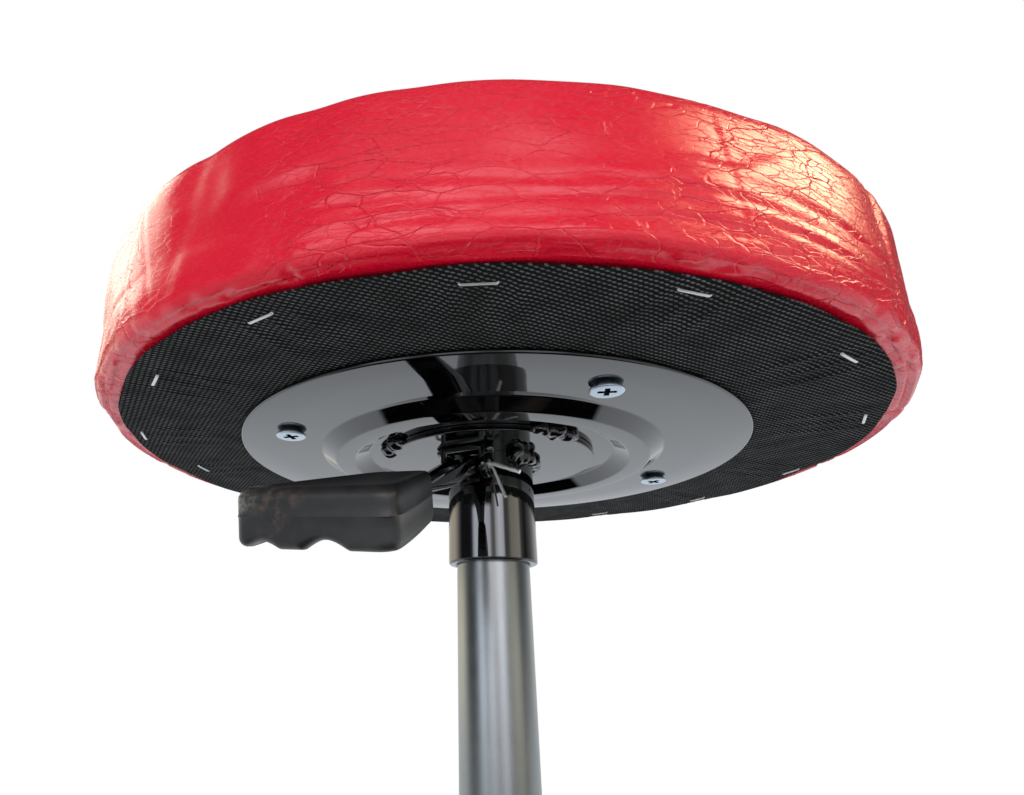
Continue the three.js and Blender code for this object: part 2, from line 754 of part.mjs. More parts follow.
function makeWheel(side) {
  const boreEnd = axleHalf + turningGap;
  const wheel = solid(revolve([
    [0, boreEnd], [axleRadius + turningGap, boreEnd], [axleRadius + turningGap, wheelInner],
    [wheelRadius - treadChamfer, wheelInner], [wheelRadius, wheelInner + treadChamfer],
    [wheelRadius, wheelOuter - treadChamfer], [wheelRadius - treadChamfer, wheelOuter],
    [0, wheelOuter - treadChamfer / 2],
  ], wheelSides));
  const turned = side > 0 ? wheel : wheel.rotate([180, 0, 0]);
  return onAxle(turned);
}

function makeHood() {
  const inner = wheelRadius + fenderGap;
  const outer = inner + fenderSheet;
  const [rear, front] = [fenderRear * degree, fenderFront * degree];
  const fender = new THREE.Shape();
  fender.absarc(-trail, axleHeight, outer, front, rear, false);
  fender.absarc(-trail, axleHeight, inner, rear, front, true);
  fender.closePath();
  const cheek = new THREE.Shape();
  cheek.absarc(-trail, axleHeight, outer - fenderSheet / 2, front, rear, false);
  cheek.absarc(-trail, axleHeight, hubDiscRadius, cheekRear * degree, cheekFront * degree, false);
  cheek.closePath();
  const neck = drum(hoodNeckRadius, axleHeight, hoodTop, rodSides);
  const body = join([sidePlate(fender, 2 * fenderHalf), sidePlate(cheek, 2 * hoodHalf), neck]);
  const axleBore = onAxle(drum(axleRadius + turningGap, -fenderHalf, fenderHalf, rodSides));
  const stemBore = drum(stemRadius + turningGap, stemSocketFloor, hoodTop + overrun, rodSides);
  return cut(body, [axleBore, stemBore]);
}

function makeStem() {
  const high = baseBossBottom + stemHoleDepth - fitGap;
  const collarTop = baseBossBottom - fitGap;
  const collarBottom = hoodTop + fitGap;
  return solid(revolve([
    [0, stemSocketFloor + fitGap], [stemRadius, stemSocketFloor + fitGap], [stemRadius, collarBottom],
    [stemCollarRadius, collarBottom], [stemCollarRadius, collarTop], [stemRadius, collarTop],
    [stemRadius, high - stemRadius / 2], [stemRadius / 2, high], [0, high],
  ], rodSides));
}

const makeAxle = () => onAxle(drum(axleRadius, -axleHalf, axleHalf, rodSides));

for (let i = 0; i < legCount; i += 1) {
  const angle = (90 + i * 360 / legCount) * degree;
  const caster = new THREE.Group();
  caster.position.set(legRadius * Math.cos(angle), legRadius * Math.sin(angle), 0);
  stool.add(caster);
  add(`caster_${i + 1}_stem`, makeStem(), brightZinc, caster);
  add(`caster_${i + 1}_hood`, makeHood(), blackNylon, caster);
  add(`caster_${i + 1}_axle`, makeAxle(), brightZinc, caster);
  add(`caster_${i + 1}_wheel_left`, makeWheel(-1), blackNylon, caster);
  add(`caster_${i + 1}_wheel_right`, makeWheel(1), blackNylon, caster);
}

export default stool;
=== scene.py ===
# %% [markdown]
# A round padded stool, seen from below
#
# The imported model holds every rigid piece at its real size. This file gives those pieces their finish, and
# builds the soft and shiny ones again with the fine shape that a picture needs: a vinyl pad, a stapled dust
# cover, a stamped plate, a lift lever and a gas spring.

# %% Load the frame
import math
from functools import partial

import bmesh
import bpy
import numpy as np
from mathutils import Matrix, Vector, noise
from mathutils.bvhtree import BVHTree


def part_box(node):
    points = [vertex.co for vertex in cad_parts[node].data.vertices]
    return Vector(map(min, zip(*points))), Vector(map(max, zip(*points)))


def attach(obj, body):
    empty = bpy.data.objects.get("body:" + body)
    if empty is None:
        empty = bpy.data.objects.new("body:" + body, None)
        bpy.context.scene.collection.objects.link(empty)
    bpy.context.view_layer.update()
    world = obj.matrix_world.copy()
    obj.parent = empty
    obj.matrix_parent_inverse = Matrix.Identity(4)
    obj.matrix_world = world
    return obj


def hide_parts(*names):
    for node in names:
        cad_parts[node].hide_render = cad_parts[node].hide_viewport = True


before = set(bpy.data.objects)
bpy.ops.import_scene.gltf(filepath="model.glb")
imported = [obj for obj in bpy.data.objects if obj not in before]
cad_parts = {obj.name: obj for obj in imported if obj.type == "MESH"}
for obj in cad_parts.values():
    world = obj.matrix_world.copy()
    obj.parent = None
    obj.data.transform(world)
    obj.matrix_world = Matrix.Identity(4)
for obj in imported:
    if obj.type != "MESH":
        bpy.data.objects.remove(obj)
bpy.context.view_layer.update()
MM = 0.001

# %% [markdown]
# Small helpers
#
# A colour is written as the sRGB hex value that a painter would pick, and one function turns it linear. One
# more function adds a shader node with its settings and its links, so that every material below reads as a
# short list of steps.

# %% Colour and node helpers
def srgb(code):
    """A hex colour such as "#c41a2e" as the linear colour that shaders take."""
    channels = [int(code[i:i + 2], 16) / 255 for i in (1, 3, 5)]
    linear = [c / 12.92 if c <= 0.04045 else ((c + 0.055) / 1.055) ** 2.4 for c in channels]
    return (*linear, 1.0)


def link_inputs(node, links):
    """Links inputs, each to a socket or to the first output that another node has in use."""
    for key, source in links.items():
        if isinstance(source, bpy.types.Node):
            source = next(socket for socket in source.outputs if socket.enabled)
        node.id_data.links.new(source, node.inputs[key])


def add_node(tree, kind, settings=None, links=None):
    """Adds a node, a shader node where its kind doesn't say Node. A setting or link names an input by name or
    number, or else a property of the node."""
    node = tree.nodes.new(kind if "Node" in kind else "ShaderNode" + kind)
    for key, value in (settings or {}).items():
        if isinstance(key, int) or key in node.inputs:
            node.inputs[key].default_value = value
        else:
            setattr(node, key, value)
    link_inputs(node, links or {})
    return node


def new_material(name, shader):
    """A material with one Principled shader, the function that adds nodes to it, and the shader's node."""
    material = bpy.data.materials.new(name)
    material.use_nodes = True
    material.node_tree.nodes.clear()
    add = partial(add_node, material.node_tree)
    bsdf = add("BsdfPrincipled", shader)
    add("OutputMaterial", None, {"Surface": bsdf})
    return material, add, bsdf


def drifting_material(name, shader, drift, rough, drift_share=(0, 1), colours=None, skin=None):
    """A material whose gloss, and colour if two are given, drift with one noise. skin is a second noise for the
    bump: its settings, the scale along Z, and the bump's strength and depth."""
    material, add, bsdf = new_material(name, shader)
    place = add("TexCoord").outputs["Object"]
    cloud = add("TexNoise", drift, {"Vector": place})
    gloss = add("MapRange", {"From Min": drift_share[0], "From Max": drift_share[1], "To Min": rough[0],
                             "To Max": rough[1]}, {"Value": cloud})
    ends = {"Roughness": gloss}
    if colours:
        ends["Base Color"] = add("Mix", {"data_type": "RGBA", 6: srgb(colours[0]), 7: srgb(colours[1])},
                                 {0: cloud})
    if skin:
        pattern, along, strength, depth = skin
        flowing_place = add("Mapping", {"Scale": (1, 1, along)}, {"Vector": place})
        fine = add("TexNoise", pattern, {"Vector": flowing_place})
        ends["Normal"] = add("Bump", {"Strength": strength, "Distance": depth}, {"Height": fine})
    link_inputs(bsdf, ends)
    return material, add, bsdf


# %% Mesh helpers
def mesh_object(name, points, faces):
    mesh = bpy.data.meshes.new(name)
    mesh.from_pydata(points, [], faces)
    mesh.update()
    obj = bpy.data.objects.new(name, mesh)
    bpy.context.scene.collection.objects.link(obj)
    return obj


def faces_outwards(obj):
    """Turns the faces of a closed mesh to point out of it."""
    work = bmesh.new()
    work.from_mesh(obj.data)
    bmesh.ops.recalc_face_normals(work, faces=work.faces)
    work.to_mesh(obj.data)
    work.free()
    return obj


def vertex_places(obj):
    """The places of a mesh's points, as rows of x, y and z."""
    flat = np.empty(len(obj.data.vertices) * 3)
    obj.data.vertices.foreach_get("co", flat)
    return flat.reshape(-1, 3)


def move_vertices(obj, places):
    obj.data.vertices.foreach_set("co", places.ravel())
    obj.data.update()


def round_axis(radius, height, angle):
    """A point at a radius and height, turned about Z. Angle 0 is at the stool's front."""
    return Vector((radius * math.sin(angle), -radius * math.cos(angle), height))


def arc(centre, radius, start, end, count):
    """Points round a centre, as (across, up). Angle 0 is straight below it, and a right angle is outwards."""
    return [(centre[0] + radius * math.sin(a), centre[1] - radius * math.cos(a))
            for a in np.linspace(start, end, count)]


def smooth(obj, degrees=32):
    obj.data.shade_smooth()
    obj.data.set_sharp_from_angle(angle=math.radians(degrees))
    return obj


def bar(name, points, sides, degrees):
    """Joins equal rings of points, one after the other, into a bar closed at both ends."""
    last = len(points) - sides
    faces = []
    for start in range(0, last, sides):
        for k in range(sides):
            a, b = start + k, start + (k + 1) % sides
            faces.append((a, b, b + sides, a + sides))
    faces += [tuple(range(sides)), tuple(range(last, len(points)))]
    return smooth(faces_outwards(mesh_object(name, points, faces)), degrees)


def plain_mesh(obj):
    """Bakes the modifiers of an object into its mesh."""
    graph = bpy.context.evaluated_depsgraph_get()
    baked = bpy.data.meshes.new_from_object(obj.evaluated_get(graph))
    obj.modifiers.clear()
    obj.data = baked
    return obj


def turned(name, profile, sides=128, closed=False, degrees=32):
    """Turns a profile of (radius, height) points about Z. A point on the axis becomes a pole."""
    points, rows = [], []
    for radius, height in profile:
        if radius < 1e-7:
            rows.append([len(points)])
            points.append((0.0, 0.0, height))
            continue
        rows.append(list(range(len(points), len(points) + sides)))
        points += [round_axis(radius, height, math.tau * i / sides) for i in range(sides)]
    faces = []
    pairs = list(zip(rows, rows[1:]))
    if closed:
        pairs.append((rows[-1], rows[0]))
    for low, high in pairs:
        for i in range(sides):
            j = (i + 1) % sides
            if len(low) == 1:
                faces.append((low[0], high[j], high[i]))
            elif len(high) == 1:
                faces.append((low[i], low[j], high[0]))
            else:
                faces.append((low[i], low[j], high[j], high[i]))
    return smooth(faces_outwards(mesh_object(name, points, faces)), degrees)


def cut_away(obj, cutter):
    """Subtracts a closed cutter from an object and deletes the cutter."""
    knife = obj.modifiers.new("cut", "BOOLEAN")
    knife.operation = "DIFFERENCE"
    knife.solver = "EXACT"
    knife.object = cutter
    plain_mesh(obj)
    bpy.data.objects.remove(cutter)
    return obj


BOX_FACES = [(0, 2, 3, 1), (4, 5, 7, 6), (0, 1, 5, 4), (2, 6, 7, 3), (0, 4, 6, 2), (1, 3, 7, 5)]


def boxed(name, low, high):
    """A plain box between two corners, used as a cutter."""
    points = [(x, y, z) for z in (low[2], high[2]) for y in (low[1], high[1]) for x in (low[0], high[0])]
    return mesh_object(name, points, BOX_FACES)


def dress(obj, body, slot, material, *nodes):
    """Gives a piece its material and body, and hides the CAD nodes that it stands for."""
    obj.data.materials.clear()
    obj.data.materials.append(material)
    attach(obj, body)
    if nodes:
        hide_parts(*nodes)
    return obj


def refined(node, bevel=0.4 * MM, degrees=30):
    """A copy of a faceted CAD node with its flat faces whole again and its edges softened."""
    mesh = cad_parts[node].data.copy()
    obj = bpy.data.objects.new(node + "_fine", mesh)
    bpy.context.scene.collection.objects.link(obj)
    work = bmesh.new()
    work.from_mesh(mesh)
    bmesh.ops.remove_doubles(work, verts=work.verts, dist=0.002 * MM)
    bmesh.ops.dissolve_limit(work, angle_limit=math.radians(1), verts=work.verts, edges=work.edges)
    work.to_mesh(mesh)
    work.free()
    edge = obj.modifiers.new("soft_edges", "BEVEL")
    edge.width = bevel
    edge.segments = 2
    edge.limit_method = "ANGLE"
    edge.angle_limit = math.radians(degrees)
    edge.use_clamp_overlap = True
    plain_mesh(obj)
    return smooth(obj, degrees)


# %% [markdown]
# The camera
#
# The photograph was taken with a phone held low, 27 cm from the stool and tilted up. The lens, the place and
# the tilt were worked out from the round plate, the four screws, the pad's edge and the straight tube.

# %% Camera
IMAGE_WIDTH = 1024
IMAGE_HEIGHT = 795
FOCAL_PIXELS = 650
AXIS_COLUMN = 432.2
AXIS_ROW = 341.9
camera_turn = math.radians(23)
camera_distance = 266 * MM
camera_height = 376 * MM
camera_yaw = -0.093 - camera_turn
camera_pitch = 0.464
camera_roll = 0.011

lens = bpy.data.cameras.new("photo_camera")
camera = bpy.data.objects.new("photo_camera", lens)
bpy.context.scene.collection.objects.link(camera)
bpy.context.scene.camera = camera
lens.sensor_width = 36
lens.lens = FOCAL_PIXELS * lens.sensor_width / IMAGE_WIDTH
lens.shift_x = (IMAGE_WIDTH / 2 - AXIS_COLUMN) / IMAGE_WIDTH
lens.shift_y = (AXIS_ROW - IMAGE_HEIGHT / 2) / IMAGE_WIDTH
lens.clip_start = 0.01
bpy.context.scene.view_settings.view_transform = "Standard"

forward = Vector((math.sin(camera_yaw) * math.cos(camera_pitch),
                  math.cos(camera_yaw) * math.cos(camera_pitch), math.sin(camera_pitch)))
level_right = Vector((math.cos(camera_yaw), -math.sin(camera_yaw), 0))
level_up = level_right.cross(forward)
right = math.cos(camera_roll) * level_right + math.sin(camera_roll) * level_up
up = -math.sin(camera_roll) * level_right + math.cos(camera_roll) * level_up
turn = Matrix((right, up, -forward)).transposed().to_4x4()
place = round_axis(camera_distance, camera_height, camera_turn)
camera.matrix_world = Matrix.Translation(place) @ turn
print("camera at", [round(v, 4) for v in place], "lens", round(lens.lens, 2), "mm")

# %% [markdown]
# Floor, sky and lamps
#
# The photo is cut out on white, so the floor and the sky show as plain white to the camera. Gloss needs
# something to mirror: outdoors that is a pale ground, an open sky and a few upright things between the two.
# The world holds them as bands round the horizon, seen only by glossy rays. Each lamp makes either glare or
# plain light, so that the two can be set one by one.

# %% Horizon
SKY_STRENGTH = 5.0

# Each band: the angle from the camera's own side, how bright it is, and its tint
SKY_BANDS = [
    (-180, 0.8, "#ffffff"), (-137, 1.3, "#fff8e4"), (-116, 1.9, "#fff6dc"), (-104, 1.3, "#fff8e8"),
    (-94, 0.35, "#ffffff"), (-86, 0.05, "#ffffff"), (-60, 0.05, "#ffffff"), (-54, 0.3, "#e8f0ff"),
    (-49, 2.8, "#e6efff"), (-44, 4.0, "#e9f1ff"), (-34, 3.2, "#eef4ff"), (-29, 0.45, "#ffffff"),
    (-24, 0.5, "#ffffff"), (-20, 3.6, "#edf2ff"), (-7, 3.2, "#f4f2ff"), (-1, 0.8, "#ffffff"),
    (5, 0.7, "#ffffff"), (9, 2.4, "#f6f6ff"), (18, 4.2, "#f2f5ff"), (28, 3.4, "#f2f5ff"), (33, 0.4, "#ffffff"),
    (41, 0.4, "#fffdf2"), (50, 1.3, "#fffbe9"), (72, 1.6, "#fffbe9"), (79, 0.3, "#ffffff"),
    (92, 0.05, "#ffffff"), (112, 0.4, "#ffffff"), (137, 1.1, "#ffffff"), (180, 0.8, "#ffffff"),
]


def horizon(add, vector):
    """The band for a direction or a place on the ground, and its X, Y and Z turned to the camera's side."""
    turned_way = add("Mapping", {"vector_type": "VECTOR", "Rotation": (0, 0, -camera_turn)}, {"Vector": vector})
    parts = add("SeparateXYZ", None, {"Vector": turned_way})
    flipped = add("Math", {"operation": "MULTIPLY", 1: -1.0}, {0: parts.outputs["Y"]})
    bearing = add("Math", {"operation": "ARCTAN2"}, {0: parts.outputs["X"], 1: flipped})
    along = add("MapRange", {"From Min": -math.pi, "From Max": math.pi}, {"Value": bearing})
    bands = add("ValToRGB", None, {"Fac": along})
    ramp = bands.color_ramp
    while len(ramp.elements) < len(SKY_BANDS):
        ramp.elements.new(0.5)
    for element, (degrees, bright, tint) in zip(ramp.elements, SKY_BANDS):
        element.position = (degrees + 180) / 360
    for element, (degrees, bright, tint) in zip(ramp.elements, SKY_BANDS):
        element.color = [bright / SKY_STRENGTH * c for c in srgb(tint)[:3]] + [1.0]
    return bands, parts


# %% Floor
FLOOR_HALF = 9.0
STOOL_REACH = 0.37
CLEAR_REACH = 0.4
floor = mesh_object("floor", [(-FLOOR_HALF, -FLOOR_HALF, 0), (FLOOR_HALF, -FLOOR_HALF, 0),
                              (FLOOR_HALF, FLOOR_HALF, 0), (-FLOOR_HALF, FLOOR_HALF, 0)], [(0, 1, 2, 3)])
floor_paint, add, floor_shader = new_material("pale_floor", {"Base Color": srgb("#e9e9e7"), "Roughness": 0.9})
spot = add("TexCoord").outputs["Object"]
near_bands, parts = horizon(add, spot)
behind = add("MapRange", {"From Min": -0.2, "From Max": 0.2, "To Min": 0.3}, {"Value": parts.outputs["Y"]})
ground = add("Mix", {"data_type": "RGBA", 7: srgb("#eff4fa")}, {0: behind, 6: near_bands})
reach = add("VectorMath", {"operation": "LENGTH"}, {0: spot})
# Mirrored in gloss, the ground is painted black under the stool and fades back just past its reach: a painted
# shadow.
ground_past_painted_shadow = add("MapRange", {"From Min": STOOL_REACH, "From Max": CLEAR_REACH}, {"Value": reach})
mirrored = add("Emission", None, {"Color": ground, "Strength": ground_past_painted_shadow})
rays = add("LightPath").outputs
seen = add("Emission", {"Color": srgb("#ffffff"), "Strength": 1.15})
for_eye = add("MixShader", {0: 0.78}, {1: floor_shader, 2: seen})
not_eye = add("MixShader", None, {0: rays["Is Glossy Ray"], 1: floor_shader, 2: mirrored})
mixed = add("MixShader", None, {0: rays["Is Camera Ray"], 1: not_eye, 2: for_eye})
link_inputs(floor_paint.node_tree.nodes["Material Output"], {"Surface": mixed})
floor.data.materials.append(floor_paint)

# %% Sky
world = bpy.data.worlds.new("open_sky")
bpy.context.scene.world = world
world.use_nodes = True
world.node_tree.nodes.clear()
add = partial(add_node, world.node_tree)
sky_bands, parts = horizon(add, add("TexCoord").outputs["Generated"])
height = parts.outputs["Z"]
dark_sky = srgb("#1e2022")
over_bands = add("MapRange", {"From Min": 0.165, "From Max": 0.18}, {"Value": height})
capped = add("Mix", {"data_type": "RGBA", 7: dark_sky}, {0: over_bands, 6: sky_bands})
ahead = add("MapRange", {"From Min": -0.6, "From Max": -0.85}, {"Value": parts.outputs["Y"]})
rising = add("MapRange", {"From Min": 0.2, "From Max": 0.24}, {"Value": height})
cloudy = add("Math", {"operation": "MULTIPLY"}, {0: ahead, 1: rising})
clouds = add("Mix", {"data_type": "RGBA", 7: srgb("#fff4f6")}, {0: cloudy, 6: capped})
overhead = add("MapRange", {"From Min": 0.3, "From Max": 0.34}, {"Value": height})
gloss_sky = add("Mix", {"data_type": "RGBA", 7: dark_sky}, {0: overhead, 6: clouds})
rays = add("LightPath").outputs
for_gloss = add("Background", {"Strength": SKY_STRENGTH}, {"Color": gloss_sky})
for_light = add("Background", {"Color": srgb("#f4f6fa"), "Strength": 0.66})
for_eye = add("Background", {"Color": srgb("#ffffff"), "Strength": 1.0})
lit = add("MixShader", None, {0: rays["Is Glossy Ray"], 1: for_light, 2: for_gloss})
shown = add("MixShader", None, {0: rays["Is Camera Ray"], 1: lit, 2: for_eye})
add("OutputWorld", None, {"Surface": shown})


# %% Lamps
def soft_lamp(name, bearing, elevation, distance, width, tall, radiance, code, glare):
    """A soft panel that looks at the pad. With glare it shows in gloss only, without it it lights the colours
    only. Angles are in degrees: round from the camera's own side, and up."""
    light = bpy.data.lights.new(name, "AREA")
    light.shape = "RECTANGLE"
    light.size = width
    light.size_y = tall
    light.energy = radiance * math.pi * width * tall
    light.color = srgb(code)[:3]
    lamp = bpy.data.objects.new(name, light)
    bpy.context.scene.collection.objects.link(lamp)
    angle = camera_turn + math.radians(bearing)
    rise = math.radians(elevation)
    way = round_axis(math.cos(rise), math.sin(rise), angle)
    lamp.location = Vector((0, 0, 0.46)) + distance * way
    lamp.rotation_euler = (-way).to_track_quat("-Z", "Y").to_euler()
    lamp.visible_glossy = glare
    lamp.visible_diffuse = not glare


# Name, bearing, elevation, distance, width, height, radiance, colour, and whether it makes glare
for settings in [
    ("sun_behind_left", -131, 31, 2.2, 1.1, 0.9, 2.0, "#fff2dc", True),
    ("sun_low_left", -108, 32, 2.2, 0.8, 0.9, 4.8, "#fff2dc", True),
    ("sun_glow_right", 78, 33, 2.2, 1.4, 0.6, 15.0, "#ffd2a8", True),
    ("front_fill", -10, 24, 2.4, 2.0, 1.0, 3.7, "#fff4f0", False),
    ("side_fill", 80, 35, 2.2, 1.3, 0.9, 1.6, "#ffe2c8", False),
    ("back_fill", -130, 30, 2.2, 1.0, 1.0, 0.5, "#ffefd6", False),
    ("overhead_fill", 10, 75, 2.4, 1.8, 1.8, 1.6, "#ffffff", False),
]:
    soft_lamp(*settings)

# %% [markdown]
# Red upholstery vinyl
#
# The cover is PVC on a knitted backing, embossed with a leather grain. Light skids off it at a low angle, and
# where it was stretched and let go it keeps a net of shallow creases. The base colour stays almost even, the
# grain and the creases are bumps, and the gloss is broken by both.

# %% Vinyl
GRAIN_MM = 1.3
CREASE_MM = 11.0


def crease_net(add, vector, size_mm, width):
    """A net of thin creases: 0 in a crease, 1 on the skin between. size_mm is the width of one mesh."""
    net = add("TexVoronoi", {"feature": "DISTANCE_TO_EDGE", "Scale": 1000 / size_mm}, {"Vector": vector})
    return add("MapRange", {"From Max": width, "interpolation_type": "SMOOTHSTEP"}, {"Value": net})


def vinyl_material():
    material, add, bsdf = new_material("red_grained_vinyl", {"IOR": 1.5, "Specular IOR Level": 0.7})
    place = add("TexCoord").outputs["Object"]
    low = add("Mapping", {"Scale": (0.75, 0.75, 2.4)}, {"Vector": place})
    wander = add("TexNoise", {"Scale": 70.0, "Detail": 2.0}, {"Vector": low})
    pushed = add("VectorMath", {"operation": "MULTIPLY", 1: 3 * (7 * MM,)}, {0: wander.outputs["Color"]})
    warped = add("VectorMath", {"operation": "ADD"}, {0: low, 1: pushed})
    patches = add("TexNoise", {"Scale": 21.0, "Detail": 3.0}, {"Vector": place})
    slack = add("Attribute", {"attribute_name": "slack"})
    patched = add("Math", {"operation": "MULTIPLY_ADD", 1: 3.2, 2: -0.8}, {0: patches})
    amount = add("Math", {"operation": "MULTIPLY", "use_clamp": True}, {0: patched, 1: slack.outputs["Fac"]})
    pebble = add("TexNoise", {"Scale": 1000 / GRAIN_MM, "Detail": 2.0, "Roughness": 0.6}, {"Vector": low})
    bump = add("Bump", {"Strength": 0.5, "Distance": 0.12 * MM}, {"Height": pebble})
    # Small creases first, then the deep ones, each only where the cover is slack
    for size, width, strength, depth in ((0.4 * CREASE_MM, 0.05, 0.6, 0.12), (CREASE_MM, 0.028, 0.8, 0.24)):
        net = crease_net(add, warped, size, width)
        cut = add("Mix", {"data_type": "FLOAT", 2: 1.0}, {0: amount, 3: net})
        bump = add("Bump", {"Strength": strength, "Distance": depth * MM}, {"Height": cut, "Normal": bump})
    cloudy = add("TexNoise", {"Scale": 11.0, "Detail": 2.0}, {"Vector": place})
    red = add("Mix", {"data_type": "RGBA", 6: srgb("#d2082a"), 7: srgb("#e00c30")}, {0: cloudy})
    sheen = add("MapRange", {"From Min": 0.3, "From Max": 0.8, "To Min": 0.22, "To Max": 0.33}, {"Value": pebble})
    link_inputs(bsdf, {"Base Color": red, "Roughness": sheen, "Normal": bump})
    return material


vinyl = vinyl_material()

# %% [markdown]
# The pad
#
# The cover is pulled over the foam and stapled under the board, so it bulges between its edges, rolls softly
# low on the wall and gathers into little pleats where it turns under. A cloth simulation puffs a closed start
# shape while its underside is held at the staples. The finished skin is a fine grid that takes the puffed
# shape's unevenness, and then gets its rolls, flutes, creases and pleats row by row.

# %% Pad outline
pad_low, pad_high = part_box("vinyl_cover")
PAD_RADIUS = pad_high.x
PAD_BOTTOM = pad_low.z
PAD_HEIGHT = pad_high.z - pad_low.z
OUTLINE_SHARES = [
    (0, 0), (0.45, 0), (0.8, 0), (0.9, 0), (0.957, 0), (0.9665, 0.01), (0.9735, 0.032), (0.9775, 0.065),
    (0.9795, 0.1), (0.983, 0.16), (0.988, 0.26), (0.9935, 0.4), (0.9985, 0.58), (1, 0.71), (0.997, 0.785),
    (0.98, 0.85), (0.94, 0.905), (0.84, 0.95), (0.6, 0.984), (0.36, 0.996), (0.13, 1), (0, 1),
]
# Bearing in degrees and distance from the axis in mm of each staple under the pad
STAPLES = [(-2.5, 135.5), (22.4, 135.3), (44.4, 136.9), (73, 135.5), (98.8, 137.6), (127.8, 139.7),
           (152.2, 139.6), (176, 137), (203, 136), (231, 138), (260, 137), (285.8, 132.2), (305.8, 139.3),
           (331.7, 134.9)]
STAPLE_DEGREES = [degrees for degrees, _ in STAPLES]
pad_outline = [Vector((r * PAD_RADIUS, PAD_BOTTOM + h * PAD_HEIGHT)) for r, h in OUTLINE_SHARES]


def flowing(points, per_stretch=12):
    """A smooth curve through the points."""
    path = []
    for i in range(len(points) - 1):
        before = points[max(i - 1, 0)]
        after = points[min(i + 2, len(points) - 1)]
        start, end = points[i], points[i + 1]
        span = (end - start).length
        pull_in = (end - before).normalized() * span
        pull_out = (after - start).normalized() * span
        for k in range(per_stretch):
            t = k / per_stretch
            path.append(start * (2 * t ** 3 - 3 * t ** 2 + 1) + pull_in * (t ** 3 - 2 * t ** 2 + t)
                        + end * (3 * t ** 2 - 2 * t ** 3) + pull_out * (t ** 3 - t ** 2))
    path.append(points[-1])
    return path


def spaced(path, spacing):
    """Points along a path at distances that a function of the place gives."""
    kept = [path[0]]
    left = spacing(path[0])
    for start, end in zip(path, path[1:]):
        length = (end - start).length
        done = 0.0
        while length - done >= left:
            done += left
            kept.append(start.lerp(end, done / length))
            left = spacing(kept[-1])
        left -= length - done
    kept[-1] = path[-1]
    return kept


def pad_spacing(place):
    inward = max(PAD_RADIUS - place.x, 0)
    if place.y < PAD_BOTTOM + 1 * MM and place.x < PAD_RADIUS - 14 * MM:
        return 12 * MM
    if place.y < PAD_BOTTOM + 6 * MM:
        return 0.65 * MM
    return min(max(inward / 9, 0.95 * MM), 6 * MM)


pad_rows = spaced(flowing(pad_outline), pad_spacing)
print("pad rows:", len(pad_rows))


# %% Puff the pad
PUFF_FRAMES = 20
PUFF_PRESSURE = 4
VOXEL = 5 * MM
MOST_SWELL = 5 * MM
MOST_UNEVEN = 0.6 * MM
# A probe starts this far inside the outline, in every sixth column, and the blur spans 12 columns each way
PROBE = 12 * MM
PROBE_STEP = 6
BLUR = 12


def puffed_tree():
    """A search tree of the pad's start shape after cloth with pressure, held at the staples."""
    shrink = 1 - 2 * MM / PAD_RADIUS
    start = turned("pad_start", [(p.x * shrink, p.y) for p in pad_outline], sides=96)
    remesh = start.modifiers.new("even", "REMESH")
    remesh.mode = "VOXEL"
    remesh.voxel_size = VOXEL
    plain_mesh(start)
    held = start.vertex_groups.new(name="held")
    for vertex in start.data.vertices:
        x, y, z = vertex.co
        under = z < PAD_BOTTOM + 0.4 * VOXEL
        angle = math.degrees(math.atan2(x, -y)) % 360
        near = min(abs((angle - s + 180) % 360 - 180) for s in STAPLE_DEGREES)
        reach = math.hypot(x, y)
        if under and (reach < PAD_RADIUS - 26 * MM or (near < 4 and reach < PAD_RADIUS - 12 * MM)):
            held.add([vertex.index], 1.0, "REPLACE")
    before = np.array([v.co for v in start.data.vertices])
    cloth = start.modifiers.new("puff", "CLOTH")
    cloth.settings.use_pressure = True
    cloth.settings.uniform_pressure_force = PUFF_PRESSURE
    cloth.settings.vertex_group_mass = "held"
    cloth.settings.effector_weights.gravity = 0
    cloth.point_cache.frame_start = 1
    cloth.point_cache.frame_end = PUFF_FRAMES
    for number in range(1, PUFF_FRAMES + 1):
        bpy.context.scene.frame_set(number)
    plain_mesh(start)
    bpy.context.scene.frame_set(1)
    moved = np.array([v.co for v in start.data.vertices]) - before
    length = np.linalg.norm(moved, axis=1, keepdims=True)
    capped = before + moved * np.minimum(1, MOST_SWELL / np.maximum(length, 1e-9))
    for vertex, place in zip(start.data.vertices, capped):
        vertex.co = place
    work = bmesh.new()
    work.from_mesh(start.data)
    found = BVHTree.FromBMesh(work)
    work.free()
    bpy.data.objects.remove(start)
    print("puffed, mean move in mm:", round(float(length.mean()) / MM, 2))
    return found


# %% Folds of the pad
PAD_COLUMNS = 900
# Bearing and width in degrees, and depth in mm
FLUTES = [(-8.5, 1.1, 0.14), (-15, 0.5, 0.1), (-19.5, 0.4, 0.12), (-24, 0.5, 0.1), (-28, 0.4, 0.12),
          (-33, 0.6, 0.15), (45.5, 0.35, 0.2), (70, 0.9, 0.7), (118, 2.0, 0.6), (171, 1.4, 0.5), (226, 2.4, 0.8),
          (284, 1.2, 0.5)]
# Bearings of both ends, height over the bottom in mm at both ends, width in mm and depth in mm
ROLLS = [(4, 26, 13, 12, 1.3, 0.5), (8, 30, 9.5, 11, 1.0, 0.4), (10, 24, 6, 8, 0.9, 0.4),
         (14, 36, 17, 14, 1.2, 0.35), (26, 44, 11, 13, 1.0, 0.4), (30, 56, 17, 14, 1.1, 0.4),
         (34, 50, 7, 9, 0.9, 0.35), (42, 66, 12, 8, 1.0, 0.4), (50, 70, 20, 15, 1.1, 0.35)]
PLEATS = 46
# Heights over the pad's bottom, widths and depth of the soft roll and the hollow above it, in mm
LOW_ROLL = 8.0
ROLL_WIDTH = 4.2
HOLLOW = 17.5
HOLLOW_WIDTH = 5.5
HOLLOW_DEPTH = 0.18
FOAM_UNEVEN = 0.42
FOAM_SCALE = 21
LIP = 2.5 * MM
LIP_WIDTH = 12 * MM


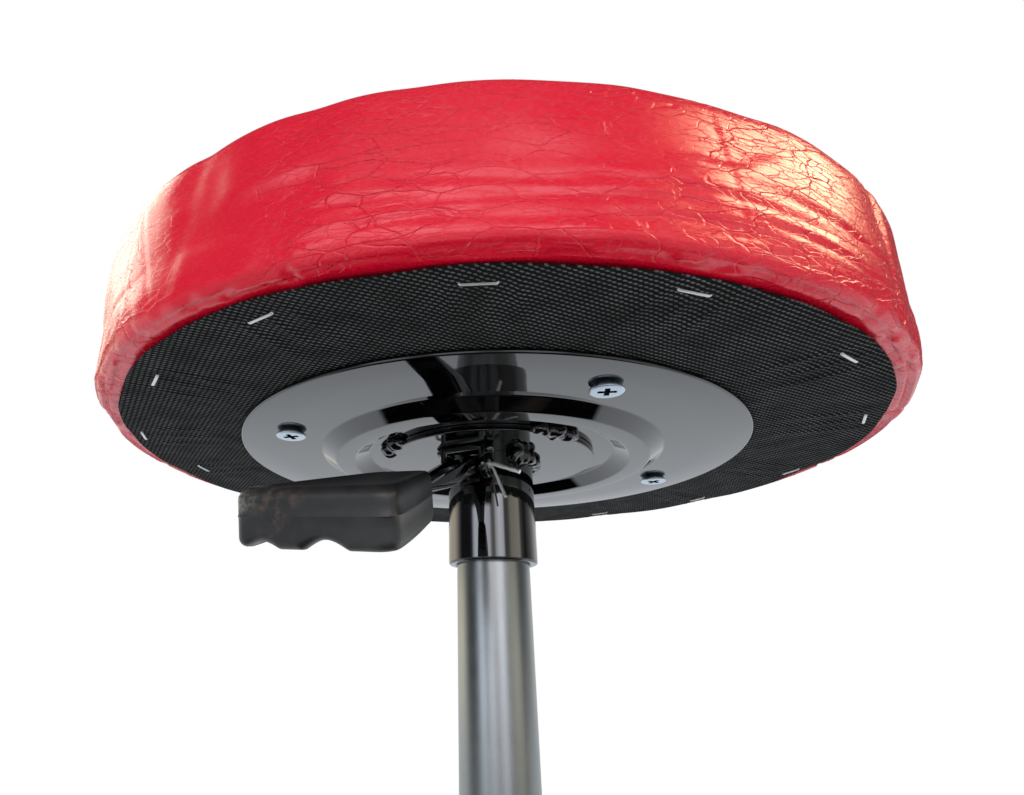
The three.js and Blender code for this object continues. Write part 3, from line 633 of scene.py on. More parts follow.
def bell(distance, width):
    """1 where the distance is nothing, fading to 0 some widths away."""
    return np.exp(-(distance / width) ** 2)


def turn_gap(angles, degrees):
    """How far each angle, in radians, lies past a bearing in degrees, the short way round, in degrees."""
    return (np.degrees(angles) - degrees + 180) % 360 - 180


def furrow(distance, width, depth, lip_share, lip_away, lip_wide=1.0):
    """A groove with a low lip beside it. The lip's height is a share of the depth, its place and its width are
    in widths of the groove."""
    lip = lip_share * bell(distance - lip_away * width, lip_wide * width)
    return depth * (lip - bell(distance, width))


def pad_folds(angles, rows, normals):
    """How far each point of the grid moves along the outline's normal, in metres."""
    rng = np.random.default_rng(7)
    heights = np.array([p.y for p in rows])
    radii = np.array([p.x for p in rows])
    above = (heights - PAD_BOTTOM) / MM
    on_wall = np.clip((radii / PAD_RADIUS - 0.9) / 0.06, 0, 1)
    push = np.zeros((len(rows), len(angles)))
    # A soft roll low on the wall, and a shallow hollow above it
    waver = sum(np.cos(k * angles + rng.uniform(0, math.tau)) / k for k in (1, 2, 3, 5, 7))
    roll = bell(above[:, None] - (LOW_ROLL + 1.1 * waver[None, :]), ROLL_WIDTH)
    roll *= 0.25 + 0.1 * waver[::-1][None, :]
    hollow = -HOLLOW_DEPTH * bell(above[:, None] - (HOLLOW + 1.4 * waver[None, :]), HOLLOW_WIDTH)
    push += (roll + hollow) * on_wall[:, None]
    # Upright flutes where the cover was pulled hard
    for bearing_degrees, width, depth in FLUTES:
        lean = bearing_degrees + (above[:, None] - 20) * rng.uniform(-0.12, 0.12)
        gap = turn_gap(angles[None, :], lean)
        fade = np.clip(above / 6, 0, 1) * np.clip((50 - above) / 14, 0, 1)
        push += furrow(gap, width, depth, 0.4, 1.9) * fade[:, None]
    # Long soft rolls that lie along the wall
    rolls = ROLLS + [(b, b + rng.uniform(12, 24), rng.uniform(6, 18), rng.uniform(6, 18), 1.1,
                      rng.uniform(0.2, 0.45)) for b in range(80, 340, 13)]
    for start, end, low_start, low_end, width, depth in rolls:
        share = turn_gap(angles, start)[None, :] / (end - start)
        from_line = above[:, None] - (low_start + (low_end - low_start) * share)
        fade = bell(share - 0.5, 0.42) * on_wall[:, None]
        push += furrow(from_line, width, depth, 0.6, 2.2, 1.5) * fade
    # Pleats where the cover turns under its edge
    low = np.exp(-np.clip(above, 0, None) / 4.5) * np.clip((radii - (PAD_RADIUS - 14 * MM)) / (4 * MM), 0, 1)
    for bearing_degrees in np.sort(rng.uniform(0, 360, PLEATS)):
        width, depth = rng.uniform(0.35, 1.5), rng.uniform(0.2, 0.8)
        lean = bearing_degrees + above[:, None] * rng.uniform(-0.25, 0.25)
        gap = turn_gap(angles[None, :], lean)
        push += furrow(gap, width, depth, 0.5, 2.2, 1.3) * low[:, None]
    # Small unevenness of the foam
    for i, (place, normal) in enumerate(zip(rows, normals)):
        if place.x < 1 * MM or (place.y < PAD_BOTTOM + 0.5 * MM and place.x < 0.95 * PAD_RADIUS):
            continue
        for j, angle in enumerate(angles):
            spot = round_axis(place.x, place.y, angle)
            push[i, j] += FOAM_UNEVEN * noise.fractal(spot * FOAM_SCALE, 1.0, 2.0, 3)
    return push * MM


def make_pad():
    columns = np.arange(PAD_COLUMNS)
    angles = columns * math.tau / PAD_COLUMNS
    normals = []
    for i in range(len(pad_rows)):
        step = pad_rows[min(i + 1, len(pad_rows) - 1)] - pad_rows[max(i - 1, 0)]
        normals.append(Vector((step.y, -step.x)).normalized())
    push = pad_folds(angles, pad_rows, normals)
    found = puffed_tree()
    puff = np.zeros_like(push)
    for i, (place, normal) in enumerate(zip(pad_rows, normals)):
        for j in range(0, PAD_COLUMNS, PROBE_STEP):
            out = round_axis(normal.x, normal.y, angles[j])
            spot = round_axis(place.x, place.y, angles[j])
            hit = found.ray_cast(spot - out * PROBE, out, 2 * PROBE)
            puff[i, j] = hit[3] - PROBE if hit[0] else 0.0
        ends = np.append(puff[i, ::PROBE_STEP], puff[i, 0])
        puff[i] = np.interp(columns, np.arange(0, PAD_COLUMNS + 1, PROBE_STEP), ends)
    kernel = bell(np.arange(-BLUR, BLUR + 1), BLUR / 2)
    kernel /= kernel.sum()
    wide = np.concatenate([puff[:, -BLUR:], puff, puff[:, :BLUR]], axis=1)
    puff = np.stack([np.convolve(row, kernel, mode="valid") for row in wide])
    uneven = puff - puff.mean(axis=1, keepdims=True)
    push += MOST_UNEVEN * np.tanh(uneven / MOST_UNEVEN)
    profile = [(p.x, p.y) for p in pad_rows]
    pad = turned("vinyl_pad", profile, PAD_COLUMNS, degrees=180)
    count = 0
    coords = vertex_places(pad)
    for i, (place, normal) in enumerate(zip(pad_rows, normals)):
        if place.x < 1e-7:
            count += 1
            continue
        span = slice(count, count + PAD_COLUMNS)
        shift = push[i]
        if place.y < PAD_BOTTOM + LIP:
            # The lip stays close to the board, or the board would poke through
            free = np.clip((place.x - (PAD_RADIUS - LIP_WIDTH)) / (3 * MM), 0, 1)
            shift = free * np.clip(shift, -0.7 * MM, 0.35 * MM)
        coords[span, 0] += shift * normal.x * np.sin(angles)
        coords[span, 1] -= shift * normal.x * np.cos(angles)
        coords[span, 2] += shift * normal.y
        count += PAD_COLUMNS
    bearings = np.degrees(np.arctan2(coords[:, 0], -coords[:, 1]))
    slack = 0.75 + 0.6 * bell(bearings - 50, 24) - 0.65 * bell(bearings + 5, 9)
    pad.data.attributes.new("slack", "FLOAT", "POINT").data.foreach_set("value", slack)
    move_vertices(pad, coords)
    return pad


pad = make_pad()
dress(pad, "seat", "red_vinyl", vinyl, "vinyl_cover", "seat_foam")
print("pad triangles:", sum(len(p.vertices) - 2 for p in pad.data.polygons))

# %% [markdown]
# The dust cover
#
# Under the pad a disc of black spunbond nonwoven hides the foam and the board. Its filaments are fused by a
# lattice of hot pins, which leaves rows of tiny shiny dots on the slant. It is only stapled, so its cut edge
# wanders and hangs a little between the staples, and slack runs in from them as faint folds.

# %% Nonwoven
DOT_PITCH = 1.65 * MM


def nonwoven_material():
    material, add, bsdf = new_material("black_spunbond", {"Specular IOR Level": 0.12})
    place = add("TexCoord").outputs["Object"]
    flat = add("Mapping", {"Rotation": (0, 0, math.radians(34)), "Scale": (1 / DOT_PITCH, 1 / DOT_PITCH, 0)},
               {"Vector": place})
    dots = add("TexVoronoi", {"voronoi_dimensions": "2D", "Scale": 1.0, "Randomness": 0.08}, {"Vector": flat})
    away = add("VectorMath", {"operation": "SUBTRACT"}, {0: flat, 1: dots.outputs["Position"]})
    squeezed = add("VectorMath", {"operation": "MULTIPLY", 1: (1.9, 1.0, 0.0)}, {0: away})
    from_dot = add("VectorMath", {"operation": "LENGTH"}, {0: squeezed})
    dot = add("MapRange", {"From Min": 0.5, "From Max": 0.25, "interpolation_type": "SMOOTHSTEP"},
              {"Value": from_dot})
    fibres = add("TexNoise", {"Scale": 900.0, "Detail": 4.0, "Roughness": 0.7}, {"Vector": place})
    uneven = add("TexNoise", {"Scale": 90.0, "Detail": 2.0}, {"Vector": place})
    # The dots are painted pale grey as well as made less rough: the grey is a painted sheen.
    strength = add("Math", {"operation": "MULTIPLY"}, {0: dot, 1: uneven})
    ground = add("Mix", {"data_type": "RGBA", 6: srgb("#0b0c0d"), 7: srgb("#1b1d1f")}, {0: fibres})
    colour = add("Mix", {"data_type": "RGBA", 7: srgb("#7b8083")}, {0: strength, 6: ground})
    rough = add("MapRange", {"To Min": 0.95, "To Max": 0.6}, {"Value": dot})
    height = add("Math", {"operation": "MULTIPLY_ADD", 1: -1.0}, {0: dot, 2: fibres})
    waves = add("TexNoise", {"Scale": 34.0, "Detail": 2.0, "Distortion": 0.8}, {"Vector": place})
    sag = add("Bump", {"Strength": 0.6, "Distance": 5 * MM}, {"Height": waves})
    bump = add("Bump", {"Strength": 0.6, "Distance": 0.12 * MM}, {"Height": height, "Normal": sag})
    link_inputs(bsdf, {"Base Color": colour, "Roughness": rough, "Normal": bump})
    return material


nonwoven = nonwoven_material()

# %% Dust cover sheet
cover_low, cover_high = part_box("dust_cover")
COVER_RADIUS = cover_high.x
COVER_THICKNESS = 0.4 * MM
COVER_COLUMNS = 720
COVER_CUT = 143.4 * MM
LOOSE_FROM = 118 * MM
STAPLE_REACH = 136 * MM
FOLD_LENGTH = 36 * MM
FOLD_MIDDLE = 125 * MM
FOLD_FADE = 16 * MM


def make_dust_cover():
    rng = np.random.default_rng(3)
    angles = np.arange(COVER_COLUMNS) * math.tau / COVER_COLUMNS
    nearest = np.min([np.abs(turn_gap(angles, s)) for s in STAPLE_DEGREES], axis=0)
    slack = 1 - bell(nearest, 5.5)
    wander = sum(np.cos(k * angles + rng.uniform(0, math.tau)) * 0.55 / math.sqrt(k) for k in (5, 9, 14, 23, 37))
    radii = [0.0, 0.03, 0.07, 0.09] + list(np.linspace(0.1, COVER_CUT, 34))
    profile = [(r, cover_low.z) for r in radii]
    top = [(r, cover_low.z + COVER_THICKNESS) for r in reversed(radii)]
    sheet = turned("dust_cover_sheet", profile + top, COVER_COLUMNS, degrees=60)
    coords = vertex_places(sheet)
    bearings = np.arctan2(coords[:, 0], -coords[:, 1]) % math.tau
    reach = np.hypot(coords[:, 0], coords[:, 1])
    column = bearings / math.tau * COVER_COLUMNS
    ring = np.arange(COVER_COLUMNS + 1)
    slack_here = np.interp(column, ring, np.append(slack, slack[0]))
    wander_here = np.interp(column, ring, np.append(wander, wander[0]))
    edge = np.clip((reach - LOOSE_FROM) / (COVER_RADIUS - LOOSE_FROM), 0, 1) ** 2
    # Three faint folds run inward from each staple and spread on the way
    inward = (STAPLE_REACH - reach) / FOLD_LENGTH
    folds = np.zeros(len(coords))
    for bearing_degrees in STAPLE_DEGREES:
        gap = turn_gap(bearings, bearing_degrees)
        for offset in (-3.2, 0.6, 4.1):
            line = bell(gap - offset * (1 + 8 * (STAPLE_REACH - reach)), np.clip(0.5 + 0.9 * inward, 0.45, 2))
            folds -= 0.5 * line * bell(reach - FOLD_MIDDLE, FOLD_FADE)
    drop = (0.15 + 0.75 * slack_here) * edge - folds
    coords[:, 2] -= np.clip(drop, -0.15, 1.6) * MM
    stretch = 1 + wander_here * edge * MM / COVER_RADIUS
    coords[:, :2] *= stretch[:, None]
    move_vertices(sheet, coords)
    return sheet


dust_cover = make_dust_cover()
dress(dust_cover, "seat", "black_nonwoven", nonwoven, "dust_cover")

# %% [markdown]
# Staples
#
# Upholstery staples with a 9.5 mm crown hold the cover, one about every 26 degrees. Geometry Nodes places
# one bent wire on each marked point and turns it by the angle stored there, so a staple is modelled once.

# %% Bright wire
def swept(name, path, width, thick, sides=10):
    """A closed bar of rounded section along a path of points, with Z as the thin way where it lies flat."""
    points = []
    for i, spot in enumerate(path):
        ahead = (path[min(i + 1, len(path) - 1)] - path[max(i - 1, 0)]).normalized()
        side = Vector((0, 1, 0)) if abs(ahead.y) < 0.9 else Vector((1, 0, 0))
        side = (side - side.dot(ahead) * ahead).normalized()
        over = ahead.cross(side)
        for k in range(sides):
            angle = math.tau * (k + 0.5) / sides
            points.append(spot + side * math.cos(angle) * width / 2 + over * math.sin(angle) * thick / 2)
    return bar(name, points, sides, 50)


def scatter_tree(name, master, material):
    """Places the master object on each point, turned by the point's own angle, as real geometry."""
    group = bpy.data.node_groups.new(name, "GeometryNodeTree")
    group.interface.new_socket("Geometry", in_out="INPUT", socket_type="NodeSocketGeometry")
    group.interface.new_socket("Size", in_out="INPUT", socket_type="NodeSocketFloat")
    group.interface.new_socket("Geometry", in_out="OUTPUT", socket_type="NodeSocketGeometry")
    add = partial(add_node, group)
    source = add("NodeGroupInput")
    model = add("GeometryNodeObjectInfo", {"Object": master})
    angle = add("GeometryNodeInputNamedAttribute", {"data_type": "FLOAT", "Name": "turn"})
    spin = add("CombineXYZ", None, {"Z": angle.outputs["Attribute"]})
    placed = add("GeometryNodeInstanceOnPoints", None,
                 {"Points": source.outputs["Geometry"], "Instance": model.outputs["Geometry"], "Rotation": spin,
                  "Scale": source.outputs["Size"]})
    real = add("GeometryNodeRealizeInstances", None, {"Geometry": placed})
    painted = add("GeometryNodeSetMaterial", {"Material": material}, {"Geometry": real})
    add("NodeGroupOutput", None, {"Geometry": painted})
    return group


def scattered(name, master, material, places):
    """places is a list of (point, turn in radians). Returns one plain mesh with a copy of master at each."""
    points = mesh_object(name, [p for p, _ in places], [])
    turns = points.data.attributes.new("turn", "FLOAT", "POINT")
    turns.data.foreach_set("value", [t for _, t in places])
    group = scatter_tree(name + "_nodes", master, material)
    modifier = points.modifiers.new("scatter", "NODES")
    modifier.node_group = group
    size = next(s.identifier for s in group.interface.items_tree if s.name == "Size" and s.in_out == "INPUT")
    modifier[size] = 1.0
    plain_mesh(points)
    bpy.data.objects.remove(master)
    return points


wire, *_ = drifting_material("galvanised_wire", {"Base Color": srgb("#e6e8e8"), "Metallic": 0.6},
                             {"Scale": 700.0, "Detail": 2.0}, (0.25, 0.5))
CROWN = 9.5 * MM
LEG = 3 * MM
BEND = 0.7 * MM


def staple_path():
    half = CROWN / 2
    right_side = arc((half - BEND, -BEND), BEND, math.pi, math.pi / 2, 5) + [(half, -LEG)]
    left_side = [(-x, z) for x, z in reversed(right_side)]
    return [Vector((x, 0, -z)) for x, z in left_side + right_side]


staple = swept("staple_master", staple_path(), 1.0 * MM, 0.5 * MM)
rng = np.random.default_rng(11)
staple_places = []
for degrees, reach in STAPLES:
    angle = math.radians(degrees)
    spot = round_axis(reach * MM, cover_low.z - 0.4 * MM, angle)
    staple_places.append((spot, angle + math.radians(rng.uniform(-9, 9))))
staples = scattered("staples", staple, wire, staple_places)
dress(smooth(staples, 50), "seat", "bright_zinc", wire)
print("staples:", len(staple_places))

# %% [markdown]
# Black enamel
#
# The plate, socket, bracket and lever share one glossy black stoving enamel. It is almost a mirror: what the
# eye sees as mid grey on the plate is the pale ground, reflected at a low angle by black paint.

# %% Enamel
def enamel_material(name, roughness, ripple):
    shader = {"Base Color": srgb("#050606"), "IOR": 1.56, "Specular IOR Level": 0.95}
    dust = {"Scale": 260.0, "Detail": 5.0, "Roughness": 0.7}
    material, *_ = drifting_material(name, shader, dust, (roughness, roughness + 0.08), (0.4, 0.8),
                                     skin=({"Scale": 55.0, "Detail": 1.0}, 1, ripple, 0.2 * MM))
    return material


enamel = enamel_material("black_stoving_enamel", 0.025, 0.1)
weld_enamel = enamel_material("enamelled_weld", 0.05, 0.3)

# %% [markdown]
# The mounting plate
#
# A steel disc of 203 mm, stamped with one broad ring and with a thick round washer welded in its middle. Its
# profile is turned in one go, with small radii on every edge so that each catches a thin line of light.

# %% Plate
_, plate_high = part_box("mounting_plate")
PLATE_RADIUS = plate_high.x
PLATE_SHEET = 1.6 * MM
PLATE_FACE = plate_high.z - PLATE_SHEET
BEAD_OUTER = 70 * MM
BEAD_INNER = 49.5 * MM
BEAD_SLOPE = 7 * MM
BEAD_DROP = 3.8 * MM
SOCKET_RADIUS = 17.2 * MM
FIT_GAP = 0.3 * MM


def pressed(start, end, bend=0.16, steps=6):
    """Points on a pressed slope, straight in its middle, with a short round bend at each end."""
    (r0, z0), (r1, z1) = start, end
    middle = 1 / (1 - bend)
    shares = [(bend * k / steps, middle * bend * (k / steps) ** 2 / 2) for k in range(steps + 1)]
    shares += [(1 - x, 1 - y) for x, y in reversed(shares)]
    return [(r0 + (r1 - r0) * x, z0 + (z1 - z0) * y) for x, y in shares]


def make_plate():
    drops = [(SOCKET_RADIUS + FIT_GAP, 0), (0.5 * (SOCKET_RADIUS + BEAD_INNER), 0), (BEAD_INNER - 0.6 * MM, 0)]
    drops += pressed((BEAD_INNER, 0), (BEAD_INNER + BEAD_SLOPE, BEAD_DROP))
    drops += pressed((BEAD_OUTER - BEAD_SLOPE, BEAD_DROP), (BEAD_OUTER, 0))
    drops += [(BEAD_OUTER + 0.6 * MM, 0), (0.5 * (BEAD_OUTER + PLATE_RADIUS), 0)]
    lower = [(r, PLATE_FACE - d) for r, d in drops]
    half = PLATE_SHEET / 2
    rim = arc((PLATE_RADIUS - half, PLATE_FACE + half), half, 0, math.pi, 11)
    upper = [(r, PLATE_FACE + PLATE_SHEET - d) for r, d in reversed(drops)]
    return turned("stamped_plate", lower + rim + upper, 256, closed=True, degrees=40)


dress(make_plate(), "seat", "black_enamel", enamel, "mounting_plate")

# %% Welded disc
disc_low, disc_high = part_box("welded_disc")
DISC_RADIUS = disc_high.x
DISC_FACE = disc_low.z
edge = 0.35 * MM
disc = turned("round_disc", [
    (SOCKET_RADIUS + FIT_GAP, DISC_FACE), (DISC_RADIUS - 2 * edge, DISC_FACE), (DISC_RADIUS - edge, DISC_FACE),
    (DISC_RADIUS - 0.3 * edge, DISC_FACE + 0.3 * edge), (DISC_RADIUS, DISC_FACE + edge),
    (DISC_RADIUS, disc_high.z), (SOCKET_RADIUS + FIT_GAP, disc_high.z)], 200, closed=True, degrees=50)
dress(disc, "seat", "black_enamel", enamel, "welded_disc")

# %% [markdown]
# Cross-head screws
#
# Flat-headed zinc screws with a blue passivated look. One head is turned, its cross recess is cut with two
# crossed wedges, and the four copies are placed by the same node tree as the staples.

# %% Screws
def screw_material():
    """Blue zinc, with painted shade: a dark colour in the faces that the recess attribute marks."""
    material, add, bsdf = drifting_material("blue_zinc", {"Metallic": 1.0}, {"Scale": 420.0, "Detail": 3.0},
                                             (0.3, 0.55), colours=("#b9cfe2", "#f0f6fb"))
    unshaded_zinc = bsdf.inputs["Base Color"].links[0].from_socket
    recess = add("Attribute", {"attribute_name": "recess"})
    # The faces of the cross recess are painted dark green-grey: painted shade in the recess.
    recess_painted_shade = add("Mix", {"data_type": "RGBA", 7: srgb("#232d2a")}, {0: recess.outputs["Fac"], 6: unshaded_zinc})
    link_inputs(bsdf, {"Base Color": recess_painted_shade})
    return material


screw_zinc = screw_material()
SCREW_CIRCLE = 83 * MM
FIRST_SCREW = 49.4
HEAD_RADIUS = 5.5 * MM
HEAD_EDGE = 0.4 * MM
HEAD_PROUD = 2.0 * MM
SHANK_RADIUS = 2.1 * MM
SCREW_LENGTH = 14 * MM
# Length, width at the mouth, and depth
RECESS = (6.0 * MM, 1.7 * MM, 2.2 * MM)


def cross_wedge(name, length, width, depth):
    """Half of a cross recess: a bar whose bottom is narrower than its mouth. The mouth is at z 0, facing -Z."""
    points = []
    for z, share in ((-0.2 * MM, 1.05), (depth, 0.35)):
        points += [(sx * length / 2 * share, sy * width / 2 * (0.4 + 0.6 * share), z)
                   for sy in (-1, 1) for sx in (-1, 1)]
    return faces_outwards(mesh_object(name, points, BOX_FACES))


def make_screw_head():
    profile = [(0, 0), (HEAD_RADIUS * 0.6, 0)]
    profile += arc((HEAD_RADIUS - HEAD_EDGE, HEAD_EDGE), HEAD_EDGE, 0, math.pi / 2, 5)
    profile += [(HEAD_RADIUS - 0.1 * MM, 0.9 * MM), (SHANK_RADIUS, 4.2 * MM),
                (SHANK_RADIUS, SCREW_LENGTH - 2 * MM), (0, SCREW_LENGTH)]
    head = turned("screw_master", profile, 64)
    cut_away(head, cross_wedge("slot_a", *RECESS))
    other = cross_wedge("slot_b", *RECESS)
    other.data.transform(Matrix.Rotation(math.pi / 2, 4, "Z"))
    cut_away(head, other)
    centres = [polygon.center for polygon in head.data.polygons]
    inside = [float(0.02 * MM < c.z < 2.4 * MM and math.hypot(c.x, c.y) < 3.1 * MM) for c in centres]
    head.data.attributes.new("recess", "FLOAT", "FACE").data.foreach_set("value", inside)
    return smooth(head, 30)


screw_places = []
for i, spin in enumerate((0.35, 0.9, 0.1, 0.2)):
    spot = round_axis(SCREW_CIRCLE, PLATE_FACE - HEAD_PROUD, math.radians(FIRST_SCREW + 90 * i))
    screw_places.append((spot, spin))
screws = scattered("plate_screws", make_screw_head(), screw_zinc, screw_places)
dress(smooth(screws, 30), "seat", "screw_zinc", screw_zinc, *[f"mounting_screw_{i}" for i in range(1, 5)])

# %% [markdown]
# Socket, welds, bracket and lever
#
# The socket is a drawn tube with a chamfered mouth and a slot that lets the lever's tongue in. Short weld
# beads, painted over, tie the washer, the bracket and the socket together. A bead is a bar along an arc whose
# section swells and shrinks the way a hand-held torch leaves it.

# %% Socket
socket_low, socket_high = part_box("socket_tube")
TUBE_RADIUS = 14 * MM
SOCKET_CHAMFER = 0.9 * MM
SLOT_HALF = 4.3 * MM
SLOT_TOP = 5.6 * MM
SLOT_BOTTOM = 15.6 * MM


def make_socket():
    low, high = socket_low.z, socket_high.z
    bore = TUBE_RADIUS + FIT_GAP
    chamfer = arc((SOCKET_RADIUS - SOCKET_CHAMFER, low + SOCKET_CHAMFER), SOCKET_CHAMFER, 0, math.pi / 2, 6)
    profile = [(bore + 0.6 * MM, low)] + chamfer
    profile += [(SOCKET_RADIUS, high), (bore - 0.8 * MM, high), (bore, low + 0.6 * MM)]
    socket = turned("socket_sleeve", profile, 128, closed=True, degrees=40)
    slot = boxed("slot_cutter", (-SLOT_HALF, -2 * SOCKET_RADIUS, PLATE_FACE - SLOT_BOTTOM),
                 (1.6 * SLOT_HALF, -0.3 * SOCKET_RADIUS, PLATE_FACE - SLOT_TOP))
    return smooth(cut_away(socket, slot), 40)


dress(make_socket(), "seat", "black_enamel", enamel, "socket_tube")


# %% Weld beads
def weld_bead(name, radius, start_degrees, end_degrees, height, size, seed):
    """A lumpy bead on an arc round the axis, with its back in the surface it joins."""
    length = math.radians(end_degrees - start_degrees) * radius
    steps = max(int(length / (0.45 * MM)), 8)
    sides = 16
    points = []
    for i in range(steps + 1):
        share = i / steps
        angle = math.radians(start_degrees + (end_degrees - start_degrees) * share)
        run = share * length / MM
        taper = max(1 - (2 * abs(share - 0.5)) ** 4, 0.02) ** 0.5
        ripple = 1 + 0.05 * math.cos(run * math.tau / 2.4 + seed)
        lump = 1 + 0.5 * noise.noise(Vector((run / 4.5, seed, 0)))
        for k in range(sides):
            around = math.tau * k / sides
            side, over = math.cos(around), math.sin(around)
            bit = 1 + 0.45 * noise.noise(Vector((run / 2.6, 0.9 * side + seed, 0.9 * over)))
            reach = size * taper * ripple * lump * bit
            points.append(round_axis(radius + reach * side, height + 0.8 * reach * over, angle))
    return dress(bar(name, points, sides, 60), "seat", "black_enamel", weld_enamel)


# Name, radius, first and last bearing in degrees, drop below the plate, size, and the seed of its lumps
BEADS = [
    ("disc_bead_left", DISC_RADIUS + 0.6 * MM, -50, -28, 0.9 * MM, 3.1 * MM, 1.3),
    ("disc_bead_right", DISC_RADIUS + 0.4 * MM, 44, 74, 1.1 * MM, 3.3 * MM, 4.1),
    ("disc_bead_far", DISC_RADIUS + 0.2 * MM, 131, 167, 0.6 * MM, 1.7 * MM, 7.7),
    ("disc_bead_back", DISC_RADIUS + 0.2 * MM, 212, 246, 0.6 * MM, 1.9 * MM, 5.2),
    ("socket_bead_right", SOCKET_RADIUS + 1.6 * MM, 46, 84, 4.4 * MM, 3.4 * MM, 2.6),
    ("socket_bead_far", SOCKET_RADIUS + 1.2 * MM, 92, 150, 3.9 * MM, 2.4 * MM, 3.7),
    ("socket_bead_left", SOCKET_RADIUS + 1.0 * MM, -110, -46, 3.8 * MM, 2.2 * MM, 9.4),
    ("socket_bead_back", SOCKET_RADIUS + 1.0 * MM, 170, 230, 3.8 * MM, 2.0 * MM, 6.3),
    ("bracket_bead_right", 25.5 * MM, 19, 27, 4.2 * MM, 2.3 * MM, 8.8),
    ("bracket_bead_left", 25.5 * MM, -28, -20, 4.0 * MM, 1.9 * MM, 5.9),
]
for name, radius, start, end, drop, size, seed in BEADS:
    weld_bead(name, radius, start, end, PLATE_FACE - drop, size, seed)

# %% Bracket and lever arm
dress(refined("lever_bracket", 0.5 * MM), "seat", "black_enamel", enamel, "lever_bracket")
dress(refined("lever_arm", 0.35 * MM), "lever", "black_enamel", enamel, "lever_arm")

# %% [markdown]
# The split pin
#
# The lever turns on a split pin. Its eye is on the left, and on the right its two legs, half-round wires laid
# together, are bent apart so that it can't work out. Bare steel, it is the brightest thing under the plate.

# %% Split pin
PIVOT = Vector((0, -22 * MM, 445 * MM))
PIN_RADIUS = 1.5 * MM
PIN_OUTSIDE = 9.3 * MM


def make_split_pin():
    eye_centre = -PIN_OUTSIDE - 2.6 * MM
    eye = [PIVOT + Vector((eye_centre + 1.9 * MM * math.cos(a), 0, 1.9 * MM * math.sin(a)))
           for a in np.linspace(0.5, math.tau - 0.5, 22)]
    loop = swept("pin_eye", eye, 1.6 * MM, 1.3 * MM, 10)
    along = [PIVOT + Vector((x, 0, 0)) for x in np.linspace(-PIN_OUTSIDE - 1.2 * MM, PIN_OUTSIDE, 6)]
    shank = swept("pin_shank", along, 2 * PIN_RADIUS, 2 * PIN_RADIUS, 16)
    pin_end = PIVOT + Vector((PIN_OUTSIDE, 0, 0))
    straight, bent = [[pin_end + MM * Vector(step) for step in steps] for steps in (
        [(-1, 0, 0.2), (1.2, 0, 0.15), (2.6, -0.2, -0.4), (12, -0.6, -4.4)],
        [(-1, 0, -0.3), (0.8, 0, -1), (1.8, -0.2, -2.8), (6, -0.6, -13)])]
    flat_leg = swept("pin_leg_flat", straight, 1.6 * MM, 1.7 * MM, 12)
    thin_leg = swept("pin_leg_bent", bent, 2.2 * MM, 1.0 * MM, 12)
    return [loop, shank, flat_leg, thin_leg]


pin_pieces = make_split_pin()
for piece in pin_pieces:
    dress(piece, "seat", "bright_zinc", wire)
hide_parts("split_pin")

# %% [markdown]
# The paddle
#
# The handle is moulded plastic over the end of the steel arm: broad at the front, narrow at the neck, with a
# shallow dish on top and finger hollows below. A flash line runs round it at half height. It is worn: grey
# where fingers rub it, and brown with old dust on the front.

# %% Paddle plastic
def paddle_material():
    material, add, bsdf = new_material("worn_moulded_plastic", {"IOR": 1.5, "Specular IOR Level": 0.7})
    place = add("TexCoord").outputs["Object"]
    fine = add("TexNoise", {"Scale": 1400.0, "Detail": 3.0}, {"Vector": place})
    broad = add("TexNoise", {"Scale": 34.0, "Detail": 4.0, "Roughness": 0.65}, {"Vector": place})
    dusty = add("TexNoise", {"Scale": 260.0, "Detail": 6.0, "Roughness": 0.75}, {"Vector": place})
    specks = add("MapRange", {"From Min": 0.48, "From Max": 0.64}, {"Value": dusty})
    rubbed = add("MapRange", {"From Min": 0.5, "From Max": 0.75, "To Max": 0.5}, {"Value": broad})
    colour = add("Mix", {"data_type": "RGBA", 6: srgb("#1d1f20"), 7: srgb("#3c3e3e")}, {0: rubbed})
    # Marks of use, each at a place and with a reach in metres: brown dust on the front, and grey where the left
    # corner and the top edge were knocked
    marks = [((-0.010, -0.117, 0.413), 0.012, "#473b33"), ((-0.0235, -0.1155, 0.4185), 0.009, "#9a9c97"),
             ((-0.012, -0.1175, 0.4205), 0.005, "#7c7f80"), ((0.0155, -0.111, 0.419), 0.003, "#8f9288")]
    for spot, reach, code in marks:
        away = add("VectorMath", {"operation": "DISTANCE", 1: spot}, {0: place})
        close = add("MapRange", {"From Min": reach, "From Max": 0.3 * reach}, {"Value": away})
        mark = add("Math", {"operation": "MULTIPLY"}, {0: close, 1: specks})
        colour = add("Mix", {"data_type": "RGBA", 7: srgb(code)}, {0: mark, 6: colour})
    rough = add("MapRange", {"To Min": 0.34, "To Max": 0.5}, {"Value": broad})
    bump = add("Bump", {"Strength": 0.35, "Distance": 0.07 * MM}, {"Height": fine})
    dirt = add("Bump", {"Strength": 0.4, "Distance": 0.1 * MM}, {"Height": dusty, "Normal": bump})
    link_inputs(bsdf, {"Base Color": colour, "Roughness": rough, "Normal": dirt})
    return material


# %% Paddle shape
LEVER_SLOPE = math.radians(18.6)
PADDLE_LEAN = math.radians(5)
PADDLE_START = 50 * MM
PADDLE_END = 100 * MM
PADDLE_HALF = 24.4 * MM
PADDLE_TOP = 2.9 * MM
PADDLE_THICK = 15.8 * MM
PADDLE_EDGE = 3 * MM
PADDLE_DISH = 1.7 * MM
PADDLE_HOLLOW = 3.2 * MM
PLAN_SHARES = [(0, 0), (0, 0.32), (0.03, 0.42), (0.2, 0.55), (0.4, 0.69), (0.6, 0.82), (0.8, 0.94), (0.93, 1),
               (0.975, 0.97), (1, 0.88), (1, 0.6), (1, 0.3), (1, 0)]
# Finger hollows: the place and half width as shares of the paddle's half width, and the depth in mm
GROOVES = [(-0.67, 0.24, 1.9), (0.15, 0.29, 2.6)]


